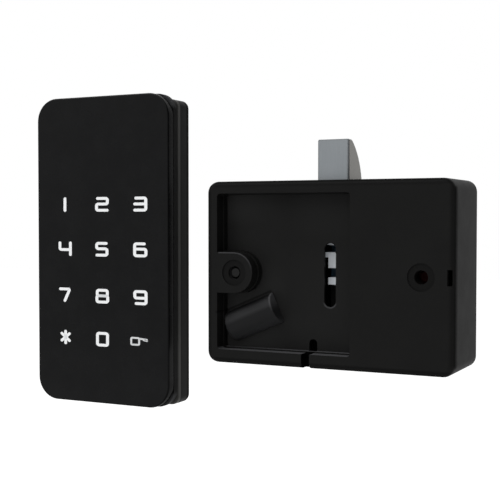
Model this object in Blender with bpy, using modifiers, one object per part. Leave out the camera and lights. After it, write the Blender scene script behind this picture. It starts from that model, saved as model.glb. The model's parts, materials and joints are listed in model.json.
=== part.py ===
"""Electronic cabinet lock: a touch keypad unit and the rear lock unit that it drives.

The keypad goes on the outside of a cabinet door and the lock unit on the inside. A small motor in the
lock unit turns a crown wheel, whose pinion draws a spring-loaded latch bolt in by a rack. The origin is
the centre of the keypad's back face. X is right, Y goes back, away from the user, and Z is up.
Inside a unit, x, y and z are counted from the centre of its front face.
"""

import math

import bmesh
import bpy
from mathutils import Matrix, Vector

# Clearances and finish shared by every piece
SEAT_GAP = 0.0003
OVERRUN = 0.0010
MERGE_DISTANCE = 0.000005
ARC_STEPS = 5
ROUND_SIDES = 24
SMALL_SIDES = 14
SHARP_DEGREES = 35

# Keypad unit
KEYPAD_WIDTH = 0.0590
KEYPAD_HEIGHT = 0.1160
KEYPAD_DEPTH = 0.0165
PANEL_THICKNESS = 0.0035
PANEL_CORNER = 0.0086
PANEL_EDGE_ROUND = 0.0007
PANEL_SKIN = 0.0016
PANEL_RIM = 0.0024
FRAME_THICKNESS = 0.0025
FRAME_CORNER = 0.0068
CASE_SIDE_INSET = 0.0003
CASE_TOP_INSET = 0.0018
CASE_FOOT_INSET = 0.0005
CASE_CORNER = 0.0030
CASE_FRONT_ROUND = 0.0010
CASE_BACK_ROUND = 0.0014
CASE_WALL = 0.0020
CASE_BACK = 0.0022
GUIDE_THICKNESS = 0.0012
TOUCH_BOARD_THICKNESS = 0.0012
TOUCH_BOARD_SIDE_RIM = 0.0049
TOUCH_BOARD_END_RIM = 0.0082
TOUCH_BOARD_CORNER = 0.0030
CASE_SCREW_SIDE = 0.0075
CASE_SCREW_END = 0.0056
CASE_SCREW_RADIUS = 0.0010
CASE_SCREW_HEAD_RADIUS = 0.0019
CASE_SCREW_HEAD_HEIGHT = 0.0012
CASE_SCREW_SINK = 0.0030
CASE_SCREW_REACH = 0.0018
CASE_COLUMN_RADIUS = 0.0027
BOARD_POST_RADIUS = 0.0016
BOARD_POST_SIDE = 0.0046
BOARD_POST_END = 0.0098
INSERT_RADIUS = 0.0030
INSERT_BORE = 0.00165
INSERT_LENGTH = 0.0070
INSERT_GROOVE = 0.0004
INSERT_BOSS_WALL = 0.0013
OUTLET_RADIUS = 0.0035
OUTLET_DROP = 0.0140
BUZZER_RADIUS = 0.0045
BUZZER_HEIGHT = 0.0035
BUZZER_PORT = 0.0008
BUZZER_SIDE = 0.0165
BUZZER_END = 0.0340
SOCKET_WIDTH = 0.0090
SOCKET_HEIGHT = 0.0050
SOCKET_DEPTH = 0.0042
SOCKET_WALL = 0.0007
KEYPAD_SOCKET_DROP = 0.0240

# Lock unit: housing
UNIT_SPACING = 0.0157
LOCK_DROP = 0.00715
LOCK_CORNER = 0.0040
LOCK_FRONT_ROUND = 0.0020
LOCK_BACK_ROUND = 0.0008
LOCK_WALL = 0.0021
RECESS_RIM = 0.0043
RECESS_PAST_BOLT = 0.0037
RECESS_FOOT_RIM = 0.0049
RECESS_CORNER = 0.0010
RECESS_LEDGE_DEPTH = 0.0046
RECESS_LEDGE = 0.00045
RECESS_DEPTH = 0.0074
RECESS_FLOOR = 0.0011
RECESS_WALL = 0.0021
SCREW_HOLE_RADIUS = 0.00235
SCREW_SEAT_DEPTH = 0.0060
SCREW_HEAD_BORE = 0.0043
SCREW_BOSS_RADIUS = 0.0055
SCREW_BOSS_SHORT = 0.0021
HOOK_ROOM = 0.0034
SCREW_RING_RADIUS = 0.00465
SCREW_RING_DEPTH = 0.0004
EAR_WIDTH = 0.0144
NOTCH_WIDTH = 0.0030
NOTCH_X = -0.0067
NOTCH_RISE = 0.0045
SLOT_WIDTH = 0.0043
SLOT_LENGTH = 0.0222
SLOT_SHIFT = -0.00045
SLOT_LEFT_SHIFT = 0.0005
CATCH_SLOT_WIDTH = 0.0014
CATCH_SLOT_HEIGHT = 0.0052
CATCH_LEDGE_FORWARD = 0.0041
LID_THICKNESS = 0.0019
LID_RIM = 0.0012
LID_CORNER = 0.0026
HOOK_THICKNESS = 0.0013
HOOK_BARB = 0.0006
HOOK_BARB_LENGTH = 0.0015

# Lock unit: battery tray and cells
CELL_RADIUS = 0.00525
CELL_LENGTH = 0.0445
CELL_NUB_RADIUS = 0.0019
CELL_NUB_LENGTH = 0.0008
CELL_EDGE = 0.0006
CELLS_APART = 0.0003
BOLT_TO_CELL = 0.0011
TRAY_THICKNESS = 0.0011
TRAY_END_WALL = 0.0012
TRAY_END_HEIGHT = 0.0096
TRAY_END_GAP = 0.00045
TRAY_SCREW_INSET = 0.0082
TRAY_POST_RADIUS = 0.0022
TRAY_RIB_WIDTH = 0.0020
TRAY_RIB_HEIGHT = 0.0018
CONTACT_THICKNESS = 0.0005
CONTACT_SIZE = 0.0075
CONTACT_SPRING_RADIUS = 0.0026
CONTACT_SPRING_LENGTH = 0.0030
CONTACT_WIRE_RADIUS = 0.00025
CONTACT_TURNS = 3
CONTACT_POINTS = 9

# Lock unit: latch bolt, carriage and spring
BOLT_WIDTH = 0.0116
BOLT_FRONT = 0.0088
BOLT_RISE = 0.0142
BOLT_LENGTH = 0.0265
BOLT_NOSE = 0.0034
BOLT_BACK_RADIUS = 0.02113
BOLT_BACK_DROP = 0.0181
BOLT_CHAMFER = 0.00045
BOLT_BACK_STEPS = 10
BOLT_TRAVEL = 0.0135
TENON_WIDTH = 0.0050
TENON_THICKNESS = 0.0035
TENON_LENGTH = 0.0050
BOLT_PIN_RADIUS = 0.0010
CARRIAGE_WIDTH = 0.0110
CARRIAGE_FRONT = 0.0092
CARRIAGE_BACK = 0.0153
CARRIAGE_FOOT = -0.0158
CARRIAGE_RAIL = 0.0022
CARRIAGE_BAR_INSET = 0.0016
TOP_BAR_FOOT = 0.0099
HOOK_BAR_TOP = 0.0074
HOOK_BAR_FOOT = 0.0019
HOOK_BAR_STEP = 0.0056
HOOK_BAR_LEFT = -0.0025
MIDDLE_BAR_TOP = -0.0014
MIDDLE_BAR_FOOT = -0.0039
FOOT_BAR_HEIGHT = 0.0030
RIB_WIDTH = 0.0012
RIB_HEIGHT = 0.0034
RIB_TOP = 0.0060
LEFT_RIB_LENGTH = 0.0055
RIGHT_RIB_LENGTH = 0.0220
LUG_FOOT = 0.0020
LUG_HEIGHT = 0.0030
LUG_FRONT = 0.0122
SPRING_SIDE = 0.0042
SPRING_Y = 0.0127
SPRING_RADIUS = 0.0020
SPRING_WIRE_RADIUS = 0.0002
SPRING_TURNS = 14
SPRING_POINTS = 9
SPIGOT_RADIUS = 0.0011
SPIGOT_LENGTH = 0.0025
MAGNET_RADIUS = 0.0015
MAGNET_THICKNESS = 0.0012
MAGNET_RISE = 0.0120

# Lock unit: motor and gears
MOTOR_TILT_DEGREES = 23
BUMP_X = -0.0292
BUMP_Z = -0.0161
BUMP_LENGTH = 0.0200
BUMP_RADIUS = 0.0056
BUMP_WALL = 0.0008
BUMP_END_ROUND = 0.0012
BUMP_RIM_ROUND = 0.0004
MOTOR_RADIUS = 0.0045
MOTOR_LENGTH = 0.0120
MOTOR_EDGE = 0.0005
MOTOR_BOSS_RADIUS = 0.0015
MOTOR_BOSS_LENGTH = 0.0008
MOTOR_SHAFT_RADIUS = 0.0005
PRESSURE_DEGREES = 20
TOOTH_SHARE = 0.40
ROOT_SHARE = 1.25
DRIVE_MODULE = 0.0007
MOTOR_PINION_TEETH = 8
MOTOR_PINION_LENGTH = 0.0040
MOTOR_PINION_GAP = 0.0005
CROWN_TEETH = 22
CROWN_FACE_WIDTH = 0.0028
CROWN_DISC = 0.0012
CROWN_TIP_SHARE = 0.70
CROWN_ROOT_SHARE = 1.45
RACK_MODULE = 0.0006
RACK_PINION_TEETH = 10
RACK_THICKNESS = 0.0024
RACK_SPARE = 0.0024
AXLE_RADIUS = 0.0008
AXLE_BOSS_RADIUS = 0.0022
AXLE_SINK = 0.0005
SADDLE_WIDTH = 0.0070
SADDLE_THICKNESS = 0.0016
SADDLE_PLACE_SHARES = (-0.62, 0.05)
STOP_THICKNESS = 0.0007
WING_REACH = 0.0010
WING_ABOVE = 0.0071
WING_BELOW = 0.0101

# Lock unit: control board
BOARD_FRONT = 0.0050
BOARD_THICKNESS = 0.0012
BOARD_END_GAP = 0.00615
BOARD_SIDE_GAP = 0.0007
BOARD_CORNER = 0.0010
BOARD_SCREW_INSET = 0.0030
BOARD_SCREW_RADIUS = 0.0008
BOARD_SCREW_HEAD_RADIUS = 0.0018
BOARD_SCREW_HEAD_HEIGHT = 0.0012
STANDOFF_RADIUS = 0.0022
STANDOFF_SKIN = 0.0010
CHIP_SIZE = 0.0070
CHIP_HEIGHT = 0.0013
CHIP_TO_SCREW = 0.0110
CHIP_Z = 0.0080
DRIVER_WIDTH = 0.0060
DRIVER_HEIGHT = 0.0040
DRIVER_Z = -0.0070
LOCK_SOCKET_Z = -0.0170
SENSOR_WIDTH = 0.0032
SENSOR_DEPTH = 0.0030
SENSOR_THICKNESS = 0.0016

# Keypad: levels and places that follow from the sizes above
PANEL_BACK = PANEL_THICKNESS
FRAME_FRONT = PANEL_BACK + SEAT_GAP
FRAME_BACK = FRAME_FRONT + FRAME_THICKNESS
CASE_FRONT = FRAME_BACK + SEAT_GAP
COLUMN_FRONT = CASE_FRONT + SEAT_GAP
CASE_INSIDE = KEYPAD_DEPTH - CASE_BACK
CASE_WIDTH = KEYPAD_WIDTH - 2 * CASE_SIDE_INSET
CASE_HEIGHT = KEYPAD_HEIGHT - CASE_TOP_INSET - CASE_FOOT_INSET
CASE_SHIFT = (CASE_FOOT_INSET - CASE_TOP_INSET) / 2
CASE_SCREW_X = KEYPAD_WIDTH / 2 - CASE_SCREW_SIDE
CASE_SCREW_Z = KEYPAD_HEIGHT / 2 - CASE_SCREW_END
CASE_SCREW_SEAT = KEYPAD_DEPTH - CASE_SCREW_SINK
GUIDE_FRONT = PANEL_SKIN + SEAT_GAP
TOUCH_BOARD_X = KEYPAD_WIDTH / 2 - TOUCH_BOARD_SIDE_RIM
TOUCH_BOARD_Z = KEYPAD_HEIGHT / 2 - TOUCH_BOARD_END_RIM
TOUCH_BOARD_FRONT = GUIDE_FRONT + GUIDE_THICKNESS + SEAT_GAP
TOUCH_BOARD_BACK = TOUCH_BOARD_FRONT + TOUCH_BOARD_THICKNESS
ON_TOUCH_BOARD = TOUCH_BOARD_BACK + SEAT_GAP
BOARD_POST_X = TOUCH_BOARD_X - BOARD_POST_SIDE
BOARD_POST_Z = TOUCH_BOARD_Z - BOARD_POST_END
BUZZER_X = KEYPAD_WIDTH / 2 - BUZZER_SIDE
BUZZER_Z = KEYPAD_HEIGHT / 2 - BUZZER_END

# Lock unit: the housing is as wide, high and deep as the bolt, the cells and the screws need
INNER_CELL_X = BOLT_WIDTH / 2 + BOLT_TO_CELL + CELL_RADIUS
OUTER_CELL_X = INNER_CELL_X + 2 * CELL_RADIUS + CELLS_APART
CELL_PLACES = (-OUTER_CELL_X, -INNER_CELL_X, INNER_CELL_X, OUTER_CELL_X)
TRAY_HALF_WIDTH = OUTER_CELL_X + CELL_RADIUS
SCREW_X = TRAY_HALF_WIDTH + SEAT_GAP + SCREW_BOSS_RADIUS
INSIDE_X = SCREW_X + SCREW_BOSS_RADIUS + HOOK_ROOM
HALF_WIDTH = INSIDE_X + LOCK_WALL
LOCK_X = KEYPAD_WIDTH / 2 + UNIT_SPACING + HALF_WIDTH
CELL_BAY = CELL_LENGTH + CONTACT_THICKNESS + CONTACT_SPRING_LENGTH + 4 * SEAT_GAP
TRAY_SCREW_X = TRAY_HALF_WIDTH - TRAY_SCREW_INSET
TRAY_SCREW_Z = CELL_BAY / 2 + TRAY_END_WALL + SEAT_GAP + BOARD_SCREW_HEAD_RADIUS
TRAY_HALF_HEIGHT = TRAY_SCREW_Z + BOARD_SCREW_HEAD_RADIUS
INSIDE_Z = TRAY_HALF_HEIGHT + TRAY_END_GAP
HALF_HEIGHT = INSIDE_Z + LOCK_WALL
TRAY_FRONT = CARRIAGE_BACK + 2 * SEAT_GAP
TRAY_BACK = TRAY_FRONT + TRAY_THICKNESS
POST_END = TRAY_FRONT - SEAT_GAP
CELL_Y = TRAY_BACK + SEAT_GAP + CELL_RADIUS
LID_FRONT = CELL_Y + CELL_RADIUS + SEAT_GAP
LID_SEAT = LID_FRONT - SEAT_GAP
LOCK_DEPTH = LID_FRONT + LID_THICKNESS
SCREW_BOSS_END = LID_FRONT - SCREW_BOSS_SHORT
CATCH_LEDGE_DEPTH = LID_FRONT - CATCH_LEDGE_FORWARD

# Lock unit: recess, bolt and carriage
RECESS_LEFT = RECESS_RIM - HALF_WIDTH
RECESS_RIGHT = BOLT_WIDTH / 2 + RECESS_PAST_BOLT
RECESS_TOP = HALF_HEIGHT - RECESS_RIM
RECESS_FOOT = RECESS_FOOT_RIM - HALF_HEIGHT
FLOOR_BACK = RECESS_DEPTH + RECESS_FLOOR
RIGHT_CAVITY_LEFT = RECESS_RIGHT + RECESS_WALL
BOLT_TOP = HALF_HEIGHT + BOLT_RISE
BOLT_FOOT = BOLT_TOP - BOLT_LENGTH
BOLT_BACK_CENTRE_Y = BOLT_FRONT + BOLT_NOSE - math.sqrt(BOLT_BACK_RADIUS**2 - BOLT_BACK_DROP**2)
BOLT_BACK = BOLT_BACK_CENTRE_Y + BOLT_BACK_RADIUS
CARRIAGE_TOP = BOLT_FOOT - SEAT_GAP
TENON_Y = (CARRIAGE_FRONT + CARRIAGE_BACK) / 2
BOLT_PIN_Z = BOLT_FOOT + TENON_LENGTH / 2
SPRING_X = CARRIAGE_WIDTH / 2 + SPRING_SIDE
SPRING_FOOT = SEAT_GAP - INSIDE_Z
SPRING_TOP = LUG_FOOT - SEAT_GAP

# Lock unit: motor and gears
MOTOR_TILT = math.radians(MOTOR_TILT_DEGREES)
MOTOR_AXIS = Vector((math.cos(MOTOR_TILT), 0, math.sin(MOTOR_TILT)))
BUMP_CENTRE = Vector((BUMP_X, RECESS_DEPTH, BUMP_Z))
BUMP_BORE = BUMP_RADIUS - BUMP_WALL
MOTOR_START = SEAT_GAP + BUMP_WALL - BUMP_LENGTH / 2
MOTOR_END = MOTOR_START + MOTOR_LENGTH
MOTOR_PINION_START = MOTOR_END + MOTOR_BOSS_LENGTH + MOTOR_PINION_GAP
MOTOR_PINION_RADIUS = DRIVE_MODULE * MOTOR_PINION_TEETH / 2
CROWN_RADIUS = DRIVE_MODULE * CROWN_TEETH / 2
CROWN_DISTANCE = MOTOR_PINION_START + MOTOR_PINION_LENGTH / 2 + CROWN_RADIUS
CROWN_CENTRE = BUMP_CENTRE + MOTOR_AXIS * CROWN_DISTANCE
CROWN_PITCH_Y = RECESS_DEPTH + MOTOR_PINION_RADIUS
CROWN_TIP_Y = CROWN_PITCH_Y - CROWN_TIP_SHARE * DRIVE_MODULE
CROWN_ROOT_Y = CROWN_PITCH_Y + CROWN_ROOT_SHARE * DRIVE_MODULE
CROWN_BACK = CROWN_ROOT_Y + CROWN_DISC
RACK_PINION_RADIUS = RACK_MODULE * RACK_PINION_TEETH / 2
RACK_PINION_END = TRAY_FRONT - SEAT_GAP
RACK_LINE = CROWN_CENTRE.x + RACK_PINION_RADIUS
AXLE_BORE = AXLE_RADIUS + SEAT_GAP

# Lock unit: control board
BOARD_BACK = BOARD_FRONT + BOARD_THICKNESS
ON_BOARD = BOARD_BACK + SEAT_GAP
BOARD_LEFT = RIGHT_CAVITY_LEFT + BOARD_SIDE_GAP
BOARD_RIGHT = INSIDE_X - BOARD_SIDE_GAP
BOARD_HALF_HEIGHT = INSIDE_Z - BOARD_END_GAP
CHIP_X = SCREW_X - CHIP_TO_SCREW
STANDOFF_END = BOARD_FRONT - SEAT_GAP

parts = None
cutters = None
looks = {}


def start_scene():
    """Empties the scene and makes the two collections and the two units' empties."""
    global parts, cutters
    for old in list(bpy.data.objects):
        bpy.data.objects.remove(old, do_unlink=True)
    parts = bpy.data.collections.new("electronic_cabinet_lock")
    cutters = bpy.data.collections.new("cutters")
    bpy.context.scene.collection.children.link(parts)
    bpy.context.scene.collection.children.link(cutters)
    places = {
        "keypad_unit": (0, -KEYPAD_DEPTH, 0),
        "lock_unit": (LOCK_X, -KEYPAD_DEPTH, -LOCK_DROP),
    }
    units = {}
    for name, place in places.items():
        unit = bpy.data.objects.new(name, None)
        unit.location = place
        parts.objects.link(unit)
        units[name] = unit
    return units["keypad_unit"], units["lock_unit"]


def make_look(name, colour, roughness, metallic=0.0):
    """A Principled material, kept under its name."""
    look = bpy.data.materials.new(name)
    look.use_nodes = True
    shader = look.node_tree.nodes["Principled BSDF"]
    shader.inputs["Base Color"].default_value = (*colour, 1)
    shader.inputs["Roughness"].default_value = roughness
    shader.inputs["Metallic"].default_value = metallic
    looks[name] = look


def make_looks():
    make_look("touch_gloss", (0.012, 0.012, 0.013), 0.28)
    make_look("case_black", (0.014, 0.014, 0.014), 0.52)
    make_look("lock_black", (0.011, 0.011, 0.011), 0.50)
    make_look("bolt_steel", (0.42, 0.42, 0.41), 0.34, 1.0)
    make_look("pin_steel", (0.55, 0.55, 0.55), 0.28, 1.0)
    make_look("white_acetal", (0.80, 0.80, 0.78), 0.42)
    make_look("gear_acetal", (0.70, 0.71, 0.66), 0.45)
    make_look("brass", (0.70, 0.52, 0.22), 0.32, 1.0)
    make_look("board_green", (0.02, 0.12, 0.06), 0.45)
    make_look("light_film", (0.78, 0.80, 0.82), 0.50)
    make_look("socket_white", (0.82, 0.80, 0.72), 0.45)
    make_look("cell_wrap", (0.10, 0.14, 0.22), 0.35)
    make_look("magnet_nickel", (0.60, 0.58, 0.52), 0.25, 1.0)


def finish_object(name, mesh, unit, look, at=(0, 0, 0)):
    """Links a mesh as a part when it has a look, or as a hidden cutter when it has none."""
    obj = bpy.data.objects.new(name, mesh)
    obj.parent = unit
    obj.location = at
    if look is None:
        cutters.objects.link(obj)
        obj.hide_render = True
        obj.display_type = "WIRE"
        return obj
    mesh.materials.append(looks[look])
    mesh.shade_smooth()
    mesh.set_sharp_from_angle(angle=math.radians(SHARP_DEGREES))
    parts.objects.link(obj)
    return obj


def mesh_from(name, shape):
    shape.normal_update()
    bmesh.ops.recalc_face_normals(shape, faces=shape.faces)
    mesh = bpy.data.meshes.new(name)
    shape.to_mesh(mesh)
    shape.free()
    return mesh


def boolean(target, tool, operation):
    modifier = target.modifiers.new(tool.name, "BOOLEAN")
    modifier.operation = operation
    modifier.solver = "EXACT"
    modifier.object = tool


def cut(target, *tools):
    for tool in tools:
        boolean(target, tool, "DIFFERENCE")


def join(target, *tools):
    for tool in tools:
        boolean(target, tool, "UNION")


def arc(centre, radius, start, end, steps=ARC_STEPS):
    """Points along an arc, from one angle to another in degrees."""
    points = []
    for step in range(steps + 1):
        angle = math.radians(start + (end - start) * step / steps)
        points.append((centre[0] + radius * math.cos(angle), centre[1] + radius * math.sin(angle)))
    return points


def rounded(left, right, foot, top, radius, steps=ARC_STEPS):
    """The outline of a rectangle with round corners."""
    points = arc((right - radius, top - radius), radius, 0, 90, steps)
    points += arc((left + radius, top - radius), radius, 90, 180, steps)
    points += arc((left + radius, foot + radius), radius, 180, 270, steps)
    points += arc((right - radius, foot + radius), radius, 270, 360, steps)
    return points


def circle(radius, centre=(0, 0), sides=ROUND_SIDES):
    return arc(centre, radius, 0, 360 - 360 / sides, sides - 1)


PLANES = {
    "XZ": Matrix(((1, 0, 0, 0), (0, 0, -1, 0), (0, 1, 0, 0), (0, 0, 0, 1))),
    "YZ": Matrix(((0, 0, 1, 0), (1, 0, 0, 0), (0, 1, 0, 0), (0, 0, 0, 1))),
    "XY": Matrix.Identity(4),
}
NORMALS = {"XZ": Vector((0, 1, 0)), "YZ": Vector((1, 0, 0)), "XY": Vector((0, 0, 1))}


def extruded(name, loops, start, end, unit, look=None, plane="XZ", at=(0, 0, 0), bevels=()):
    """A flat outline, with its holes, drawn out from start to end along the plane's normal.

    Each of bevels is (level, width, segments) and rounds the outer edge that lies on that level.
    """
    curve = bpy.data.curves.new(name, "CURVE")
    curve.dimensions = "2D"
    curve.fill_mode = "BOTH"
    curve.extrude = (end - start) / 2
    for loop in loops:
        spline = curve.splines.new("POLY")
        spline.points.add(len(loop) - 1)
        for point, (across, up) in zip(spline.points, loop):
            point.co = (across, up, 0, 1)
        spline.use_cyclic_u = True
    flat = bpy.data.objects.new(name, curve)
    bpy.context.scene.collection.objects.link(flat)
    graph = bpy.context.evaluated_depsgraph_get()
    mesh = bpy.data.meshes.new_from_object(flat.evaluated_get(graph))
    bpy.data.objects.remove(flat)
    bpy.data.curves.remove(curve)
    shape = bmesh.new()
    shape.from_mesh(mesh)
    bpy.data.meshes.remove(mesh)
    bmesh.ops.remove_doubles(shape, verts=shape.verts, dist=MERGE_DISTANCE)
    if len(loops) == 1:
        for side in (-1, 1):
            cap = [face for face in shape.faces if side * face.normal.z > 0.5]
            bmesh.ops.dissolve_faces(shape, faces=cap)
    shape.transform(Matrix.Translation(NORMALS[plane] * (start + end) / 2) @ PLANES[plane])
    for level, width, segments in bevels:
        round_edge(shape, NORMALS[plane], level, width, segments)
    return finish_object(name, mesh_from(name, shape), unit, look, at)


def round_edge(shape, normal, level, width, segments):
    """Bevels the edges round a flat face that lies at one level along the normal."""
    shape.normal_update()
    chosen = []
    for edge in shape.edges:
        heights = [vert.co.dot(normal) for vert in edge.verts]
        flat = all(abs(height - level) < MERGE_DISTANCE for height in heights)
        if flat and edge.calc_face_angle(0) > math.radians(SHARP_DEGREES):
            chosen.append(edge)
    bmesh.ops.bevel(
        shape, geom=chosen, offset=width, segments=segments, profile=0.5, affect="EDGES", material=-1
    )
    bmesh.ops.remove_doubles(shape, verts=shape.verts, dist=MERGE_DISTANCE)


def box(name, low, high, unit, look=None, at=(0, 0, 0)):
    """A block between two corners."""
    low = Vector(low)
    high = Vector(high)
    size = high - low
    shape = bmesh.new()
    bmesh.ops.create_cube(shape, size=1)
    shape.transform(Matrix.Translation((low + high) / 2) @ Matrix.Diagonal((*size, 1)))
    return finish_object(name, mesh_from(name, shape), unit, look, at)


def rod(name, radius, start, end, unit, look=None, plane="XZ", at=(0, 0, 0), sides=ROUND_SIDES):
    """A round bar along the plane's normal."""
    return extruded(name, [circle(radius, sides=sides)], start, end, unit, look, plane, at)


def turned(name, profile, unit, look, at, turn=(0, 0, 0), steps=ROUND_SIDES):
    """A profile of (radius, height) points, top to bottom, turned about its own Z axis."""
    shape = bmesh.new()
    verts = [shape.verts.new((radius, 0, height)) for radius, height in profile]
    pairs = list(zip(verts, verts[1:]))
    if profile[0][0] > 0:
        pairs.append((verts[-1], verts[0]))
    for pair in pairs:
        shape.edges.new(pair)
    mesh = bpy.data.meshes.new(name)
    shape.to_mesh(mesh)
    shape.free()
    mesh.materials.append(looks[look])
    obj = bpy.data.objects.new(name, mesh)
    obj.parent = unit
    obj.location = at
    obj.rotation_euler = turn
    parts.objects.link(obj)
    screw = obj.modifiers.new("turn", "SCREW")
    screw.axis = "Z"
    screw.steps = steps
    screw.render_steps = steps
    screw.use_merge_vertices = True
    screw.merge_threshold = MERGE_DISTANCE
    screw.use_smooth_shade = True
    return obj


def bodies_as_one(name, pieces, unit, look, at=(0, 0, 0)):
    """Joins finished meshes into one object of separate bodies, all in the same unit."""
    shape = bmesh.new()
    for piece in pieces:
        part = bmesh.new()
        part.from_mesh(piece.data)
        part.transform(Matrix.Translation(piece.location) @ piece.rotation_euler.to_matrix().to_4x4())
        scratch = bpy.data.meshes.new(name)
        part.to_mesh(scratch)
        part.free()
        shape.from_mesh(scratch)
        bpy.data.meshes.remove(scratch)
        bpy.data.objects.remove(piece)
    return finish_object(name, mesh_from(name, shape), unit, look, at)


def screw(name, unit, place, head_radius, head_height, shank_radius, length):
    """A plain screw whose head lies behind the point given and whose shank runs forward from it."""
    x, seat, z = place
    top = length + head_height
    profile = [
        (0, top),
        (head_radius, top),
        (head_radius, length),
        (shank_radius, length),
        (shank_radius, 0),
        (0, 0),
    ]
    turned(name, profile, unit, "pin_steel", (x, seat - length, z), (-math.pi / 2, 0, 0), SMALL_SIDES)


def helix(name, radius, foot, top, turns, per_turn, wire, unit, look, centre):
    """An unbroken coil of wire that stands up from foot to top."""
    curve = bpy.data.curves.new(name, "CURVE")
    curve.dimensions = "3D"
    curve.bevel_depth = wire
    curve.bevel_resolution = 1
    curve.use_fill_caps = True
    spline = curve.splines.new("POLY")
    count = int(turns * per_turn)
    spline.points.add(count)
    low = foot + wire
    high = top - wire
    for step, point in enumerate(spline.points):
        angle = 2 * math.pi * step / per_turn
        x = centre[0] + radius * math.cos(angle)
        y = centre[1] + radius * math.sin(angle)
        point.co = (x, y, low + (high - low) * step / count, 1)
    wound = bpy.data.objects.new(name, curve)
    wound.parent = unit
    curve.materials.append(looks[look])
    parts.objects.link(wound)
    return wound


def gear_outline(teeth, module, gap_angle):
    """An involute gear's outline, with the middle of one tooth gap at gap_angle in degrees."""
    pressure = math.radians(PRESSURE_DEGREES)
    pitch = module * teeth / 2
    base = pitch * math.cos(pressure)
    tip = pitch + module
    root = pitch - ROOT_SHARE * module
    half = TOOTH_SHARE * math.pi / teeth

    def flank(radius):
        """Half of the tooth's angle at this radius."""
        reach = math.acos(min(1, base / radius))
        at_pitch = math.tan(pressure) - pressure
        return half + at_pitch - (math.tan(reach) - reach)

    low = max(base, root)
    points = []
    for tooth in range(teeth):
        middle = math.radians(gap_angle) + (tooth + 0.5) * 2 * math.pi / teeth
        rising = [(root, flank(low)), (low, flank(low)), (pitch, flank(pitch)), (tip, flank(tip))]
        if low <= root:
            rising = rising[1:]
        for radius, angle in rising:
            points.append((radius * math.cos(middle - angle), radius * math.sin(middle - angle)))
        for radius, angle in reversed(rising):
            points.append((radius * math.cos(middle + angle), radius * math.sin(middle + angle)))
    return points


def make_keypad(unit):
    """The outer unit: touch panel, frame, board and rear case."""
    half_width = KEYPAD_WIDTH / 2
    half_height = KEYPAD_HEIGHT / 2
    edge = rounded(-half_width, half_width, -half_height, half_height, PANEL_CORNER, 2 * ARC_STEPS)
    panel = extruded(
        "touch_panel", [edge], 0, PANEL_BACK, unit, "touch_gloss", bevels=((0, PANEL_EDGE_ROUND, 2),)
    )
    pocket_width = half_width - PANEL_RIM
    pocket_height = half_height - PANEL_RIM
    pocket = rounded(
        -pocket_width, pocket_width, -pocket_height, pocket_height, PANEL_CORNER - PANEL_RIM
    )
    cut(panel, extruded("panel_pocket", [pocket], PANEL_SKIN, PANEL_BACK + OVERRUN, unit))

    board_edge = rounded(-TOUCH_BOARD_X, TOUCH_BOARD_X, -TOUCH_BOARD_Z, TOUCH_BOARD_Z, TOUCH_BOARD_CORNER)
    extruded("light_guide", [board_edge], GUIDE_FRONT, GUIDE_FRONT + GUIDE_THICKNESS, unit, "light_film")
    extruded("touch_board", [board_edge], TOUCH_BOARD_FRONT, TOUCH_BOARD_BACK, unit, "board_green")

    make_front_frame(unit)
    make_rear_case(unit)
    make_keypad_fittings(unit)


def case_screw_places():
    return [(x, z) for x in (-CASE_SCREW_X, CASE_SCREW_X) for z in (-CASE_SCREW_Z, CASE_SCREW_Z)]


def make_front_frame(unit):
    """The frame between panel and case, with a window that holds the touch board."""
    half_width = KEYPAD_WIDTH / 2
    half_height = KEYPAD_HEIGHT / 2
    edge = rounded(-half_width, half_width, -half_height, half_height, FRAME_CORNER, 2 * ARC_STEPS)
    window_x = TOUCH_BOARD_X + SEAT_GAP
    window_z = TOUCH_BOARD_Z + SEAT_GAP
    window = rounded(-window_x, window_x, -window_z, window_z, TOUCH_BOARD_CORNER)
    loops = [edge, window]
    for place in case_screw_places():
        loops.append(circle(CASE_SCREW_RADIUS + SEAT_GAP, place, SMALL_SIDES))
    extruded("front_frame", loops, FRAME_FRONT, FRAME_BACK, unit, "case_black")


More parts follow.
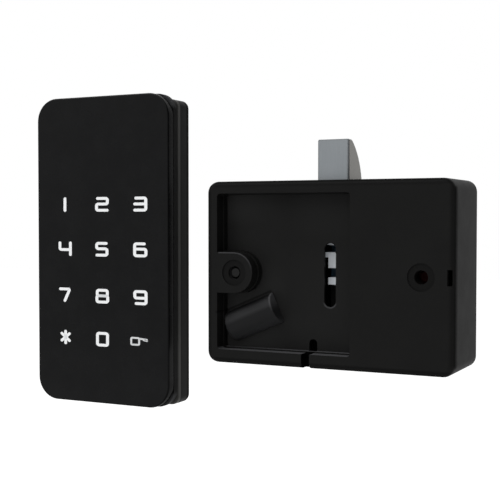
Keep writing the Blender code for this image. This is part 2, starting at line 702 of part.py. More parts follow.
def make_rear_case(unit):
    """The deep rear shell, with screw columns, board posts, insert bosses and the cable outlet."""
    half_width = CASE_WIDTH / 2
    top = CASE_SHIFT + CASE_HEIGHT / 2
    foot = CASE_SHIFT - CASE_HEIGHT / 2
    edge = rounded(-half_width, half_width, foot, top, CASE_CORNER)
    case = extruded(
        "rear_case",
        [edge],
        CASE_FRONT,
        KEYPAD_DEPTH,
        unit,
        "case_black",
        bevels=((CASE_FRONT, CASE_FRONT_ROUND, 2), (KEYPAD_DEPTH, CASE_BACK_ROUND, 3)),
    )
    hollow = rounded(
        CASE_WALL - half_width,
        half_width - CASE_WALL,
        foot + CASE_WALL,
        top - CASE_WALL,
        CASE_CORNER - CASE_WALL,
        2,
    )
    cut(case, extruded("case_hollow", [hollow], CASE_FRONT - OVERRUN, CASE_INSIDE, unit))
    columns = []
    column_end = CASE_INSIDE + CASE_BACK / 2
    for place in case_screw_places():
        column = circle(CASE_COLUMN_RADIUS, place, SMALL_SIDES)
        columns.append(extruded("case_column", [column], COLUMN_FRONT, column_end, unit))
    for x in (-BOARD_POST_X, BOARD_POST_X):
        for z in (-BOARD_POST_Z, BOARD_POST_Z):
            post = circle(BOARD_POST_RADIUS, (x, z), SMALL_SIDES)
            columns.append(extruded("board_post", [post], ON_TOUCH_BOARD, column_end, unit))
    insert_front = KEYPAD_DEPTH - INSERT_LENGTH - 2 * SEAT_GAP
    for z in (-SCREW_X, SCREW_X):
        boss = circle(INSERT_RADIUS + SEAT_GAP + INSERT_BOSS_WALL, (0, z))
        front = insert_front - INSERT_BOSS_WALL
        columns.append(extruded("insert_boss", [boss], front, column_end, unit))
    join(case, bodies_as_one("case_inner_posts", columns, unit, None))
    bores = []
    for place in case_screw_places():
        shank = circle(CASE_SCREW_RADIUS + SEAT_GAP, place, SMALL_SIDES)
        bores.append(extruded("shank_bore", [shank], CASE_FRONT - OVERRUN, CASE_SCREW_SEAT, unit))
    heads = []
    for place in case_screw_places():
        head = circle(CASE_SCREW_HEAD_RADIUS + SEAT_GAP, place, SMALL_SIDES)
        heads.append(extruded("head_bore", [head], CASE_SCREW_SEAT, KEYPAD_DEPTH + OVERRUN, unit))
    for z in (-SCREW_X, SCREW_X):
        seat = circle(INSERT_RADIUS + SEAT_GAP, (0, z))
        heads.append(extruded("insert_bore", [seat], insert_front, KEYPAD_DEPTH + OVERRUN, unit))
    outlet = circle(OUTLET_RADIUS, (0, -OUTLET_DROP))
    heads.append(extruded("outlet_bore", [outlet], CASE_INSIDE - OVERRUN, KEYPAD_DEPTH + OVERRUN, unit))
    cut(case, bodies_as_one("case_head_bores", heads, unit, None))
    for bore in bores:
        bore.data.transform(Matrix.Translation((0, OVERRUN / 2, 0)))
    cut(case, bodies_as_one("case_shank_bores", bores, unit, None))


def make_keypad_fittings(unit):
    """Screws, threaded inserts, buzzer and cable socket."""
    length = CASE_SCREW_SEAT - FRAME_BACK + CASE_SCREW_REACH
    head = (CASE_SCREW_HEAD_RADIUS, CASE_SCREW_HEAD_HEIGHT)
    for number, (x, z) in enumerate(case_screw_places(), start=1):
        place = (x, CASE_SCREW_SEAT + SEAT_GAP, z)
        screw(f"case_screw_{number}", unit, place, *head, CASE_SCREW_RADIUS, length)

    for name, z in (("upper_insert", SCREW_X), ("lower_insert", -SCREW_X)):
        length = INSERT_LENGTH
        waist = INSERT_RADIUS - INSERT_GROOVE
        profile = [(INSERT_BORE, length), (INSERT_RADIUS, length)]
        for share in (2 / 3, 1 / 3):
            profile += [
                (INSERT_RADIUS, length * share + INSERT_GROOVE),
                (waist, length * share + INSERT_GROOVE / 2),
                (waist, length * share - INSERT_GROOVE / 2),
                (INSERT_RADIUS, length * share - INSERT_GROOVE),
            ]
        profile += [(INSERT_RADIUS, 0), (INSERT_BORE, 0)]
        turned(
            name,
            profile,
            unit,
            "brass",
            (0, KEYPAD_DEPTH - SEAT_GAP, z),
            (math.pi / 2, 0, 0),
        )

    buzzer = rod(
        "buzzer",
        BUZZER_RADIUS,
        ON_TOUCH_BOARD,
        ON_TOUCH_BOARD + BUZZER_HEIGHT,
        unit,
        "case_black",
        at=(BUZZER_X, 0, BUZZER_Z),
    )
    port_front = ON_TOUCH_BOARD + BUZZER_HEIGHT / 2
    port_back = ON_TOUCH_BOARD + BUZZER_HEIGHT + OVERRUN
    cut(buzzer, rod("buzzer_port", BUZZER_PORT, port_front, port_back, unit, at=(BUZZER_X, 0, BUZZER_Z)))
    make_socket("keypad_socket", unit, (0, ON_TOUCH_BOARD, -KEYPAD_SOCKET_DROP))


def make_socket(name, unit, place):
    """A white cable socket that opens to the back."""
    x, y, z = place
    half_width = SOCKET_WIDTH / 2
    half_height = SOCKET_HEIGHT / 2
    socket = box(
        name,
        (x - half_width, y, z - half_height),
        (x + half_width, y + SOCKET_DEPTH, z + half_height),
        unit,
        "socket_white",
    )
    mouth = box(
        name + "_mouth",
        (x - half_width + SOCKET_WALL, y + SOCKET_WALL, z - half_height + SOCKET_WALL),
        (x + half_width - SOCKET_WALL, y + SOCKET_DEPTH + OVERRUN, z + half_height - SOCKET_WALL),
        unit,
    )
    cut(socket, mouth)


def recess_outline(inset):
    """The wiring recess as seen from the front, less the ear that carries the left screw hole."""
    left = RECESS_LEFT + inset
    right = RECESS_RIGHT - inset
    top = RECESS_TOP - inset
    foot = RECESS_FOOT + inset
    ear = EAR_WIDTH / 2 + inset
    points = arc((right - RECESS_CORNER, top - RECESS_CORNER), RECESS_CORNER, 0, 90, 2)
    points += arc((left + RECESS_CORNER, top - RECESS_CORNER), RECESS_CORNER, 90, 180, 2)
    points.append((left, ear))
    points += arc((-SCREW_X, 0), ear, 90, -90, 2 * ARC_STEPS)
    points.append((left, -ear))
    points += arc((left + RECESS_CORNER, foot + RECESS_CORNER), RECESS_CORNER, 180, 270, 2)
    points += arc((right - RECESS_CORNER, foot + RECESS_CORNER), RECESS_CORNER, 270, 360, 2)
    return points


def board_screw_places():
    left = BOARD_LEFT + BOARD_SCREW_INSET
    right = BOARD_RIGHT - BOARD_SCREW_INSET
    reach = BOARD_HALF_HEIGHT - BOARD_SCREW_INSET
    return [(x, z) for x in (left, right) for z in (-reach, reach)]


def tray_screw_places():
    return [(x, z) for x in (-TRAY_SCREW_X, TRAY_SCREW_X) for z in (-TRAY_SCREW_Z, TRAY_SCREW_Z)]


def along_motor(name, radius, start, end, unit, bevels=()):
    """A round bar on the motor's axis, between two distances from the bump's centre."""
    bar = extruded(name, [circle(radius)], start, end, unit, None, "XY", BUMP_CENTRE, bevels)
    bar.rotation_euler = (0, math.pi / 2 - MOTOR_TILT, 0)
    return bar


def make_lock_base(unit):
    """The front housing of the lock unit, open at the back."""
    edge = rounded(-HALF_WIDTH, HALF_WIDTH, -HALF_HEIGHT, HALF_HEIGHT, LOCK_CORNER, ARC_STEPS + 2)
    base = extruded(
        "lock_base",
        [edge],
        0,
        LOCK_DEPTH,
        unit,
        "lock_black",
        bevels=((0, LOCK_FRONT_ROUND, 3), (LOCK_DEPTH, LOCK_BACK_ROUND, 2)),
    )
    inner_corner = LOCK_CORNER - LOCK_WALL
    inside = rounded(-INSIDE_X, INSIDE_X, -INSIDE_Z, INSIDE_Z, inner_corner, 2)
    cut(base, extruded("base_hollow", [inside], FLOOR_BACK, LOCK_DEPTH + OVERRUN, unit))
    right = rounded(RIGHT_CAVITY_LEFT, INSIDE_X, -INSIDE_Z, INSIDE_Z, inner_corner, 2)
    cut(base, extruded("base_right_hollow", [right], LOCK_WALL, FLOOR_BACK + OVERRUN, unit))
    lid_x = HALF_WIDTH - LID_RIM
    lid_z = HALF_HEIGHT - LID_RIM
    rebate = rounded(-lid_x, lid_x, -lid_z, lid_z, LID_CORNER + SEAT_GAP)
    cut(base, extruded("lid_rebate", [rebate], LID_SEAT, LOCK_DEPTH + OVERRUN, unit))
    cut(base, extruded("recess_upper", [recess_outline(0)], -OVERRUN, RECESS_LEDGE_DEPTH, unit))
    cut(base, extruded("recess_lower", [recess_outline(RECESS_LEDGE)], -OVERRUN, RECESS_DEPTH, unit))
    join(base, bodies_as_one("base_posts", base_posts(unit), unit, None))
    half = BUMP_LENGTH / 2
    rounding = ((-half, BUMP_END_ROUND, 3), (half, BUMP_RIM_ROUND, 2))
    bump = along_motor("motor_bump", BUMP_RADIUS, -half, half, unit, rounding)
    spare = 2 * BUMP_RADIUS
    keep_front = box(
        "bump_back",
        (BUMP_X - BUMP_LENGTH, RECESS_DEPTH + RECESS_FLOOR / 2, BUMP_Z - BUMP_LENGTH),
        (BUMP_X + BUMP_LENGTH, RECESS_DEPTH + spare, BUMP_Z + BUMP_LENGTH),
        unit,
    )
    cut(bump, keep_front)
    join(base, bump)
    cut_base_holes(base, unit)
    return base


def base_posts(unit):
    """Everything that stands up inside the base."""
    posts = []
    left_start = FLOOR_BACK - RECESS_FLOOR / 2
    right_start = LOCK_WALL / 2
    for x, start in ((-SCREW_X, left_start), (SCREW_X, right_start)):
        boss = circle(SCREW_BOSS_RADIUS, (x, 0))
        posts.append(extruded("screw_boss", [boss], start, SCREW_BOSS_END, unit))
    for x, z in tray_screw_places():
        start = left_start if x < 0 else right_start
        post = circle(TRAY_POST_RADIUS, (x, z), SMALL_SIDES)
        posts.append(extruded("tray_post", [post], start, POST_END, unit))
    for place in board_screw_places():
        post = circle(STANDOFF_RADIUS, place, SMALL_SIDES)
        posts.append(extruded("standoff", [post], right_start, STANDOFF_END, unit))
    axle_boss = circle(AXLE_BOSS_RADIUS, (CROWN_CENTRE.x, CROWN_CENTRE.z))
    posts.append(extruded("axle_boss", [axle_boss], left_start, CROWN_ROOT_Y - SEAT_GAP, unit))
    rib_inner = CARRIAGE_WIDTH / 2 + SEAT_GAP
    rib_outer = rib_inner + RIB_WIDTH
    rib_back = FLOOR_BACK + RIB_HEIGHT
    ribs = ((-rib_outer, -rib_inner, LEFT_RIB_LENGTH), (rib_inner, rib_outer, RIGHT_RIB_LENGTH))
    for left, right, length in ribs:
        low = (left, left_start, RIB_TOP - length)
        posts.append(box("guide_rib", low, (right, rib_back, RIB_TOP), unit))
    spigot = rod(
        "base_spigot",
        SPIGOT_RADIUS,
        -INSIDE_Z - LOCK_WALL / 2,
        SPIGOT_LENGTH - INSIDE_Z,
        unit,
        plane="XY",
        at=(SPRING_X, SPRING_Y, 0),
        sides=SMALL_SIDES,
    )
    posts.append(spigot)
    return posts


def cut_base_holes(base, unit):
    """Screw holes, slots, cable notches, motor pocket, bolt mouth and catch slots."""
    pilots = []
    for x in (-SCREW_X, SCREW_X):
        through = circle(SCREW_HOLE_RADIUS, (x, 0))
        pilots.append(extruded("screw_hole", [through], -OVERRUN, SCREW_SEAT_DEPTH + OVERRUN, unit))
    for x, z in tray_screw_places():
        pilot = circle(BOARD_SCREW_RADIUS + SEAT_GAP, (x, z), SMALL_SIDES)
        pilots.append(extruded("tray_pilot", [pilot], POST_END - BOARD_FRONT, POST_END + OVERRUN, unit))
    for place in board_screw_places():
        pilot = circle(BOARD_SCREW_RADIUS + SEAT_GAP, place, SMALL_SIDES)
        foot = LOCK_WALL + STANDOFF_SKIN
        pilots.append(extruded("board_pilot", [pilot], foot, STANDOFF_END + OVERRUN, unit))
    axle = circle(AXLE_BORE, (CROWN_CENTRE.x, CROWN_CENTRE.z), SMALL_SIDES)
    foot = FLOOR_BACK - AXLE_SINK
    pilots.append(extruded("axle_seat", [axle], foot, CROWN_ROOT_Y + OVERRUN, unit))
    cut(base, bodies_as_one("base_pilots", pilots, unit, None))
    counterbores = []
    for x in (-SCREW_X, SCREW_X):
        bore = circle(SCREW_HEAD_BORE, (x, 0))
        end = SCREW_BOSS_END + OVERRUN
        counterbores.append(extruded("head_bore", [bore], SCREW_SEAT_DEPTH, end, unit))
        ring = circle(SCREW_RING_RADIUS, (x, 0))
        counterbores.append(extruded("screw_ring", [ring], -OVERRUN, SCREW_RING_DEPTH, unit))
    cut(base, bodies_as_one("base_counterbores", counterbores, unit, None))

    slot_x = SLOT_WIDTH / 2
    slot_z = SLOT_LENGTH / 2
    slot_left = -slot_x - SLOT_LEFT_SHIFT
    slot_right = slot_x - SLOT_LEFT_SHIFT
    slot_foot = SLOT_SHIFT - slot_z
    slot_top = SLOT_SHIFT + slot_z
    slot = rounded(slot_left, slot_right, slot_foot, slot_top, slot_x, ARC_STEPS)
    notch_left = NOTCH_X - NOTCH_WIDTH / 2
    notch_right = NOTCH_X + NOTCH_WIDTH / 2
    notch_top = RECESS_FOOT + NOTCH_RISE
    notch_foot = RECESS_FOOT + RECESS_LEDGE / 2
    barb_front = CATCH_LEDGE_DEPTH - HOOK_BARB_LENGTH - 2 * SEAT_GAP
    notch = [(notch_left, notch_foot), (notch_right, notch_foot)]
    notch += arc((NOTCH_X, notch_top - NOTCH_WIDTH / 2), NOTCH_WIDTH / 2, 0, 180)
    openings = [
        extruded("bolt_slot", [slot], RECESS_DEPTH - OVERRUN, FLOOR_BACK + OVERRUN, unit),
        extruded("floor_notch", [notch], RECESS_DEPTH - OVERRUN, FLOOR_BACK + OVERRUN, unit),
        box(
            "rim_notch",
            (notch_left, -OVERRUN, -HALF_HEIGHT - OVERRUN),
            (notch_right, RECESS_LEDGE_DEPTH, RECESS_FOOT + RECESS_CORNER / 2),
            unit,
        ),
        box(
            "bolt_mouth",
            (-BOLT_WIDTH / 2 - SEAT_GAP, BOLT_FRONT - SEAT_GAP, INSIDE_Z - OVERRUN),
            (BOLT_WIDTH / 2 + SEAT_GAP, BOLT_BACK + SEAT_GAP, HALF_HEIGHT + OVERRUN),
            unit,
        ),
        box(
            "right_catch",
            (INSIDE_X - SEAT_GAP / 2, -OVERRUN, -CATCH_SLOT_HEIGHT / 2),
            (INSIDE_X + CATCH_SLOT_WIDTH, CATCH_LEDGE_DEPTH, CATCH_SLOT_HEIGHT / 2),
            unit,
        ),
        box(
            "left_catch",
            (-INSIDE_X - HOOK_BARB - SEAT_GAP, barb_front, -CATCH_SLOT_HEIGHT / 2),
            (OVERRUN / 2 - INSIDE_X, CATCH_LEDGE_DEPTH, CATCH_SLOT_HEIGHT / 2),
            unit,
        ),
    ]
    cut(base, bodies_as_one("base_openings", openings, unit, None))
    bore_end = BUMP_LENGTH / 2 - BUMP_WALL
    cut(base, along_motor("motor_pocket", BUMP_BORE, -bore_end, bore_end, unit))


def make_lid(unit):
    """The rear cover: a panel set into the rim, with a snap hook at each end."""
    lid_x = HALF_WIDTH - LID_RIM - SEAT_GAP
    lid_z = HALF_HEIGHT - LID_RIM - SEAT_GAP
    edge = rounded(-lid_x, lid_x, -lid_z, lid_z, LID_CORNER)
    lid = extruded(
        "rear_cover",
        [edge],
        LID_FRONT,
        LOCK_DEPTH,
        unit,
        "lock_black",
        bevels=((LOCK_DEPTH, LOCK_BACK_ROUND / 2, 1),),
    )
    barb_back = CATCH_LEDGE_DEPTH - SEAT_GAP
    barb_front = barb_back - HOOK_BARB_LENGTH
    tip = INSIDE_X - SEAT_GAP
    outer = tip - HOOK_BARB
    inner = outer - HOOK_THICKNESS
    half = CATCH_SLOT_HEIGHT / 2 - SEAT_GAP
    root = LID_FRONT + LID_THICKNESS / 2
    hook = [
        (inner, barb_front),
        (outer, barb_front),
        (tip, barb_back),
        (outer, barb_back),
        (outer, root),
        (inner, root),
    ]
    hooks = []
    for side in (-1, 1):
        outline = [(side * x, y) for x, y in hook]
        hooks.append(extruded("hook", [outline], -half, half, unit, plane="XY"))
    join(lid, bodies_as_one("lid_hooks", hooks, unit, None))


def make_bolt(unit):
    """The sprung latch bolt: flat in front, its back curved so that the strike plate pushes it in."""
    centre = (BOLT_BACK_CENTRE_Y, BOLT_TOP - BOLT_BACK_DROP)
    start = math.degrees(math.atan2(BOLT_BACK_DROP, BOLT_FRONT + BOLT_NOSE - BOLT_BACK_CENTRE_Y))
    side = [(BOLT_FRONT, BOLT_TOP), (BOLT_FRONT, BOLT_FOOT), (BOLT_BACK, BOLT_FOOT)]
    side += arc(centre, BOLT_BACK_RADIUS, 0, start, BOLT_BACK_STEPS)
    half = BOLT_WIDTH / 2
    bolt = extruded(
        "latch_bolt",
        [side],
        -half,
        half,
        unit,
        "bolt_steel",
        "YZ",
        bevels=((half, BOLT_CHAMFER, 1), (-half, BOLT_CHAMFER, 1)),
    )
    reach = TENON_WIDTH / 2 + SEAT_GAP
    depth = TENON_THICKNESS / 2 + SEAT_GAP
    mortise = box(
        "bolt_mortise",
        (-reach, TENON_Y - depth, BOLT_FOOT - OVERRUN),
        (reach, TENON_Y + depth, BOLT_FOOT + TENON_LENGTH + SEAT_GAP),
        unit,
    )
    pin_place = (0, TENON_Y, BOLT_PIN_Z)
    bore = rod(
        "bolt_pin_bore",
        BOLT_PIN_RADIUS + SEAT_GAP,
        -half - OVERRUN,
        half + OVERRUN,
        unit,
        plane="YZ",
        at=pin_place,
        sides=SMALL_SIDES,
    )
    cut(bolt, mortise, bore)
    pin_half = half - BOLT_CHAMFER
    rod("bolt_pin", BOLT_PIN_RADIUS, -pin_half, pin_half, unit, "pin_steel", "YZ", pin_place, SMALL_SIDES)


def rack_outline():
    """The rack's flange, with teeth down its left edge and one tooth level with the crown wheel."""
    pitch = math.pi * RACK_MODULE
    slope = math.tan(math.radians(PRESSURE_DEGREES))
    tip = RACK_LINE - RACK_MODULE
    root = RACK_LINE + ROOT_SHARE * RACK_MODULE
    tip_half = TOOTH_SHARE * pitch / 2 - RACK_MODULE * slope
    root_half = TOOTH_SHARE * pitch / 2 + ROOT_SHARE * RACK_MODULE * slope
    below = int(RACK_SPARE / pitch)
    above = int((BOLT_TRAVEL + RACK_SPARE) / pitch)
    middle = CROWN_CENTRE.z
    foot = middle - (below + 0.5) * pitch
    top = middle + (above + 0.5) * pitch
    right = CARRIAGE_RAIL / 2 - CARRIAGE_WIDTH / 2
    points = [(right, top), (root, top)]
    for tooth in range(above, -below - 1, -1):
        z = middle + tooth * pitch
        points += [(root, z + root_half), (tip, z + tip_half)]
        points += [(tip, z - tip_half), (root, z - root_half)]
    points += [(root, foot), (right, foot)]
    return points


def make_carriage(unit):
    """The white carriage under the bolt: a ladder with a rack on its left and a spring lug on its right."""
    half = CARRIAGE_WIDTH / 2
    rail = half - CARRIAGE_RAIL
    outer = rounded(-half, half, CARRIAGE_FOOT, CARRIAGE_TOP, CARRIAGE_RAIL / 3, 1)
    foot_bar = CARRIAGE_FOOT + FOOT_BAR_HEIGHT
    windows = [
        [(-rail, HOOK_BAR_TOP), (rail, HOOK_BAR_TOP), (rail, TOP_BAR_FOOT), (-rail, TOP_BAR_FOOT)],
        [
            (-rail, MIDDLE_BAR_TOP),
            (rail, MIDDLE_BAR_TOP),
            (rail, HOOK_BAR_FOOT),
            (HOOK_BAR_LEFT, HOOK_BAR_FOOT),
            (HOOK_BAR_LEFT, HOOK_BAR_STEP),
            (-rail, HOOK_BAR_STEP),
        ],
        [(-rail, foot_bar), (rail, foot_bar), (rail, MIDDLE_BAR_FOOT), (-rail, MIDDLE_BAR_FOOT)],
    ]
    loops = [outer, *windows]
    carriage = extruded("bolt_carriage", loops, CARRIAGE_FRONT, CARRIAGE_BACK, unit, "white_acetal")
    sunk = box(
        "carriage_sunk_bars",
        (-rail, CARRIAGE_FRONT - OVERRUN, foot_bar - OVERRUN),
        (rail, CARRIAGE_FRONT + CARRIAGE_BAR_INSET, TOP_BAR_FOOT + OVERRUN),
        unit,
    )
    cut(carriage, sunk)
    rack_front = CARRIAGE_BACK - RACK_THICKNESS
    rack = extruded("carriage_rack", [rack_outline()], rack_front, CARRIAGE_BACK, unit)
    tenon = box(
        "carriage_tenon",
        (-TENON_WIDTH / 2, TENON_Y - TENON_THICKNESS / 2, CARRIAGE_TOP - OVERRUN),
        (TENON_WIDTH / 2, TENON_Y + TENON_THICKNESS / 2, BOLT_FOOT + TENON_LENGTH),
        unit,
    )
    lug_right = SPRING_X + SPRING_RADIUS + SPRING_WIRE_RADIUS
    lug = box(
        "carriage_lug",
        (half - CARRIAGE_RAIL / 2, LUG_FRONT, LUG_FOOT),
        (lug_right, CARRIAGE_BACK, LUG_FOOT + LUG_HEIGHT),
        unit,
    )
    spigot = rod(
        "carriage_spigot",
        SPIGOT_RADIUS,
        LUG_FOOT - SPIGOT_LENGTH,
        LUG_FOOT + LUG_HEIGHT / 2,
        unit,
        plane="XY",
        at=(SPRING_X, SPRING_Y, 0),
        sides=SMALL_SIDES,
    )
    join(carriage, rack, tenon, lug, spigot)
    pin_bore = rod(
        "tenon_pin_bore",
        BOLT_PIN_RADIUS + SEAT_GAP,
        -half,
        half,
        unit,
        plane="YZ",
        at=(0, TENON_Y, BOLT_PIN_Z),
        sides=SMALL_SIDES,
    )
    magnet_place = (0, TENON_Y, MAGNET_RISE)
    pocket_start = half - MAGNET_THICKNESS - SEAT_GAP
    pocket = rod(
        "magnet_pocket",
        MAGNET_RADIUS + SEAT_GAP,
        pocket_start,
        half + OVERRUN,
        unit,
        plane="YZ",
        at=magnet_place,
        sides=SMALL_SIDES,
    )
    cut(carriage, pin_bore, pocket)
    rod(
        "carriage_magnet",
        MAGNET_RADIUS,
        half - MAGNET_THICKNESS,
        half,
        unit,
        "magnet_nickel",
        "YZ",
        magnet_place,
        SMALL_SIDES,
    )
    helix(
        "return_spring",
        SPRING_RADIUS,
        SPRING_FOOT,
        SPRING_TOP,
        SPRING_TURNS,
        SPRING_POINTS,
        SPRING_WIRE_RADIUS,
        unit,
        "pin_steel",
        (SPRING_X, SPRING_Y),
    )


def make_drive(unit):
    """Motor, its pinion, the crown wheel with the rack pinion, and the axle."""
    turn = (0, math.pi / 2 - MOTOR_TILT, 0)
    body = MOTOR_LENGTH
    boss = body + MOTOR_BOSS_LENGTH
    shaft_end = MOTOR_PINION_START + MOTOR_PINION_LENGTH - MOTOR_START
    profile = [
        (0, shaft_end),
        (MOTOR_SHAFT_RADIUS, shaft_end),
        (MOTOR_SHAFT_RADIUS, boss),
        (MOTOR_BOSS_RADIUS, boss),
        (MOTOR_BOSS_RADIUS, body),
        (MOTOR_RADIUS - MOTOR_EDGE, body),
        (MOTOR_RADIUS, body - MOTOR_EDGE),
        (MOTOR_RADIUS, MOTOR_EDGE),
        (MOTOR_RADIUS - MOTOR_EDGE, 0),
        (0, 0),
    ]
    turned("motor", profile, unit, "pin_steel", BUMP_CENTRE + MOTOR_AXIS * MOTOR_START, turn)

    half = MOTOR_PINION_LENGTH / 2
    pinion_place = BUMP_CENTRE + MOTOR_AXIS * (MOTOR_PINION_START + half)
    teeth = gear_outline(MOTOR_PINION_TEETH, DRIVE_MODULE, 90 - 180 / MOTOR_PINION_TEETH)
    bore = circle(MOTOR_SHAFT_RADIUS + SEAT_GAP, sides=SMALL_SIDES)
    pinion = extruded("motor_pinion", [teeth, bore], -half, half, unit, "brass", "XY", pinion_place)
    pinion.rotation_euler = turn

    disc = circle(CROWN_RADIUS + CROWN_FACE_WIDTH / 2 + SEAT_GAP, sides=2 * CROWN_TEETH)
    hole = circle(AXLE_BORE, sides=SMALL_SIDES)
    place = (CROWN_CENTRE.x, 0, CROWN_CENTRE.z)
    wheel = extruded("crown_wheel", [disc, hole], CROWN_ROOT_Y, CROWN_BACK, unit, "gear_acetal", at=place)
    rack_teeth = gear_outline(RACK_PINION_TEETH, RACK_MODULE, 0)
    pinion_start = CROWN_BACK - CROWN_DISC / 2
    rack_pinion = extruded("rack_pinion", [rack_teeth, hole], pinion_start, RACK_PINION_END, unit, at=place)
    join(wheel, crown_teeth(unit), rack_pinion)
    rod(
        "wheel_axle",
        AXLE_RADIUS,
        FLOOR_BACK - AXLE_SINK + SEAT_GAP,
        TRAY_BACK - SEAT_GAP,
        unit,
        "pin_steel",
        at=place,
        sides=SMALL_SIDES,
    )


def crown_teeth(unit):
    """The ring of teeth that stand on the crown wheel's front face, one gap facing the motor pinion."""
    pitch = math.pi * DRIVE_MODULE
    slope = math.tan(math.radians(PRESSURE_DEGREES))
    sunk = CROWN_DISC / 2
    height = CROWN_ROOT_Y - CROWN_TIP_Y
    tip_half = TOOTH_SHARE * pitch / 2 - CROWN_TIP_SHARE * DRIVE_MODULE * slope
    root_half = tip_half + (height + sunk) * slope
    half_face = CROWN_FACE_WIDTH / 2
    ends = []
    for reach in (-half_face, half_face):
        widening = reach * math.pi / CROWN_TEETH
        tip = tip_half + widening
        root = root_half + widening
        foot = CROWN_ROOT_Y + sunk
        section = [(-tip, CROWN_TIP_Y), (-root, foot), (root, foot), (tip, CROWN_TIP_Y)]
        ends.append([(CROWN_RADIUS + reach, y, across) for across, y in section])
    shape = bmesh.new()
    for tooth in range(CROWN_TEETH):
        angle = math.pi + MOTOR_TILT + (tooth + 0.5) * 2 * math.pi / CROWN_TEETH
        turn = Matrix.Rotation(-angle, 4, "Y")
        inner, outer = [[shape.verts.new(turn @ Vector(point)) for point in end] for end in ends]
        shape.faces.new(inner)
        shape.faces.new(outer)
        for index, corner in enumerate(inner):
            following = (index + 1) % len(inner)
            shape.faces.new((corner, inner[following], outer[following], outer[index]))
    place = (CROWN_CENTRE.x, 0, CROWN_CENTRE.z)
    return finish_object("crown_teeth", mesh_from("crown_teeth", shape), unit, None, place)


def make_tray(unit):
    """The battery tray, which also closes the gear space and carries the axle's rear end."""
    half = TRAY_HALF_WIDTH
    reach = TRAY_HALF_HEIGHT
    slot_x = BOLT_WIDTH / 2 + SEAT_GAP
    slot_foot = BOLT_FOOT - BOLT_TRAVEL - SEAT_GAP
    wing = WING_REACH - INSIDE_X
    wing_top = BUMP_Z + WING_ABOVE
    wing_foot = BUMP_Z - WING_BELOW
    edge = [
        (-half, wing_top),
        (wing, wing_top),
        (wing, wing_foot),
        (-half, wing_foot),
        (-half, -reach),
        (half, -reach),
        (half, reach),
        (slot_x, reach),
        (slot_x, slot_foot),
        (-slot_x, slot_foot),
        (-slot_x, reach),
        (-half, reach),
    ]
    tray = extruded("battery_tray", [edge], TRAY_FRONT, TRAY_BACK, unit, "lock_black")
    start = TRAY_FRONT + TRAY_THICKNESS / 2
    end = TRAY_BACK + TRAY_END_HEIGHT
    wall = CELL_BAY / 2
    inner_x = INNER_CELL_X - CELL_RADIUS
    rib_x = (INNER_CELL_X + OUTER_CELL_X) / 2
    walls = []
    for side in (-1, 1):
        near, far = sorted((side * inner_x, side * half))
        for level in (-1, 1):
            low, high = sorted((level * wall, level * (wall + TRAY_END_WALL)))
            walls.append(box("end_wall", (near, start, low), (far, end, high), unit))
        low_x = side * rib_x - TRAY_RIB_WIDTH / 2
        high_x = side * rib_x + TRAY_RIB_WIDTH / 2
        rib_reach = wall - OVERRUN
        rib_end = TRAY_BACK + TRAY_RIB_HEIGHT
        walls.append(box("rib", (low_x, start, -rib_reach), (high_x, rib_end, rib_reach), unit))
    saddles = []
    for share in SADDLE_PLACE_SHARES:
        middle = BUMP_CENTRE + MOTOR_AXIS * (MOTOR_LENGTH * share)
        saddle = box(
            "motor_saddle",
            (-SADDLE_THICKNESS / 2, RECESS_DEPTH, -SADDLE_WIDTH / 2),
            (SADDLE_THICKNESS / 2, start, SADDLE_WIDTH / 2),
            unit,
            at=(middle.x, 0, middle.z),
        )
        saddle.rotation_euler = (0, -MOTOR_TILT, 0)
        round_seat = MOTOR_RADIUS + SEAT_GAP
        cut(saddle, along_motor("saddle_round", round_seat, -BUMP_LENGTH, BUMP_LENGTH, unit))
        saddles.append(saddle)
    stop_place = BUMP_CENTRE + MOTOR_AXIS * (MOTOR_END + SEAT_GAP + STOP_THICKNESS / 2)
    stop = box(
        "motor_stop",
        (-STOP_THICKNESS / 2, RECESS_DEPTH + MOTOR_BOSS_RADIUS + SEAT_GAP, -SADDLE_WIDTH / 2),
        (STOP_THICKNESS / 2, start, SADDLE_WIDTH / 2),
        unit,
        at=(stop_place.x, 0, stop_place.z),
    )
    stop.rotation_euler = (0, -MOTOR_TILT, 0)
    join(tray, bodies_as_one("tray_walls", walls, unit, None), *saddles, stop)
    shank = BOARD_SCREW_RADIUS + SEAT_GAP
    outlines = [circle(shank, place, SMALL_SIDES) for place in tray_screw_places()]
    outlines.append(circle(AXLE_BORE, (CROWN_CENTRE.x, CROWN_CENTRE.z), SMALL_SIDES))
    holes = []
    for outline in outlines:
        holes.append(extruded("tray_hole", [outline], POST_END, TRAY_BACK + OVERRUN, unit))
    cut(tray, bodies_as_one("tray_holes", holes, unit, None))


def make_cells(unit):
    """Four cells in series, every second one the other way up."""
    half = CELL_BAY / 2
    body = CELL_LENGTH - CELL_NUB_LENGTH
    foot = 2 * SEAT_GAP + CONTACT_SPRING_LENGTH - half
    profile = [
        (0, CELL_LENGTH),
        (CELL_NUB_RADIUS, CELL_LENGTH),
        (CELL_NUB_RADIUS, body),
        (CELL_RADIUS - CELL_EDGE, body),
        (CELL_RADIUS, body - CELL_EDGE),
        (CELL_RADIUS, CELL_EDGE),
        (CELL_RADIUS - CELL_EDGE, 0),
        (0, 0),
    ]
    for number, x in enumerate(CELL_PLACES, start=1):
        up = 1 if number % 2 else -1
        turn = (0, 0, 0) if up > 0 else (math.pi, 0, 0)
        turned(f"cell_{number}", profile, unit, "cell_wrap", (x, CELL_Y, up * foot), turn)


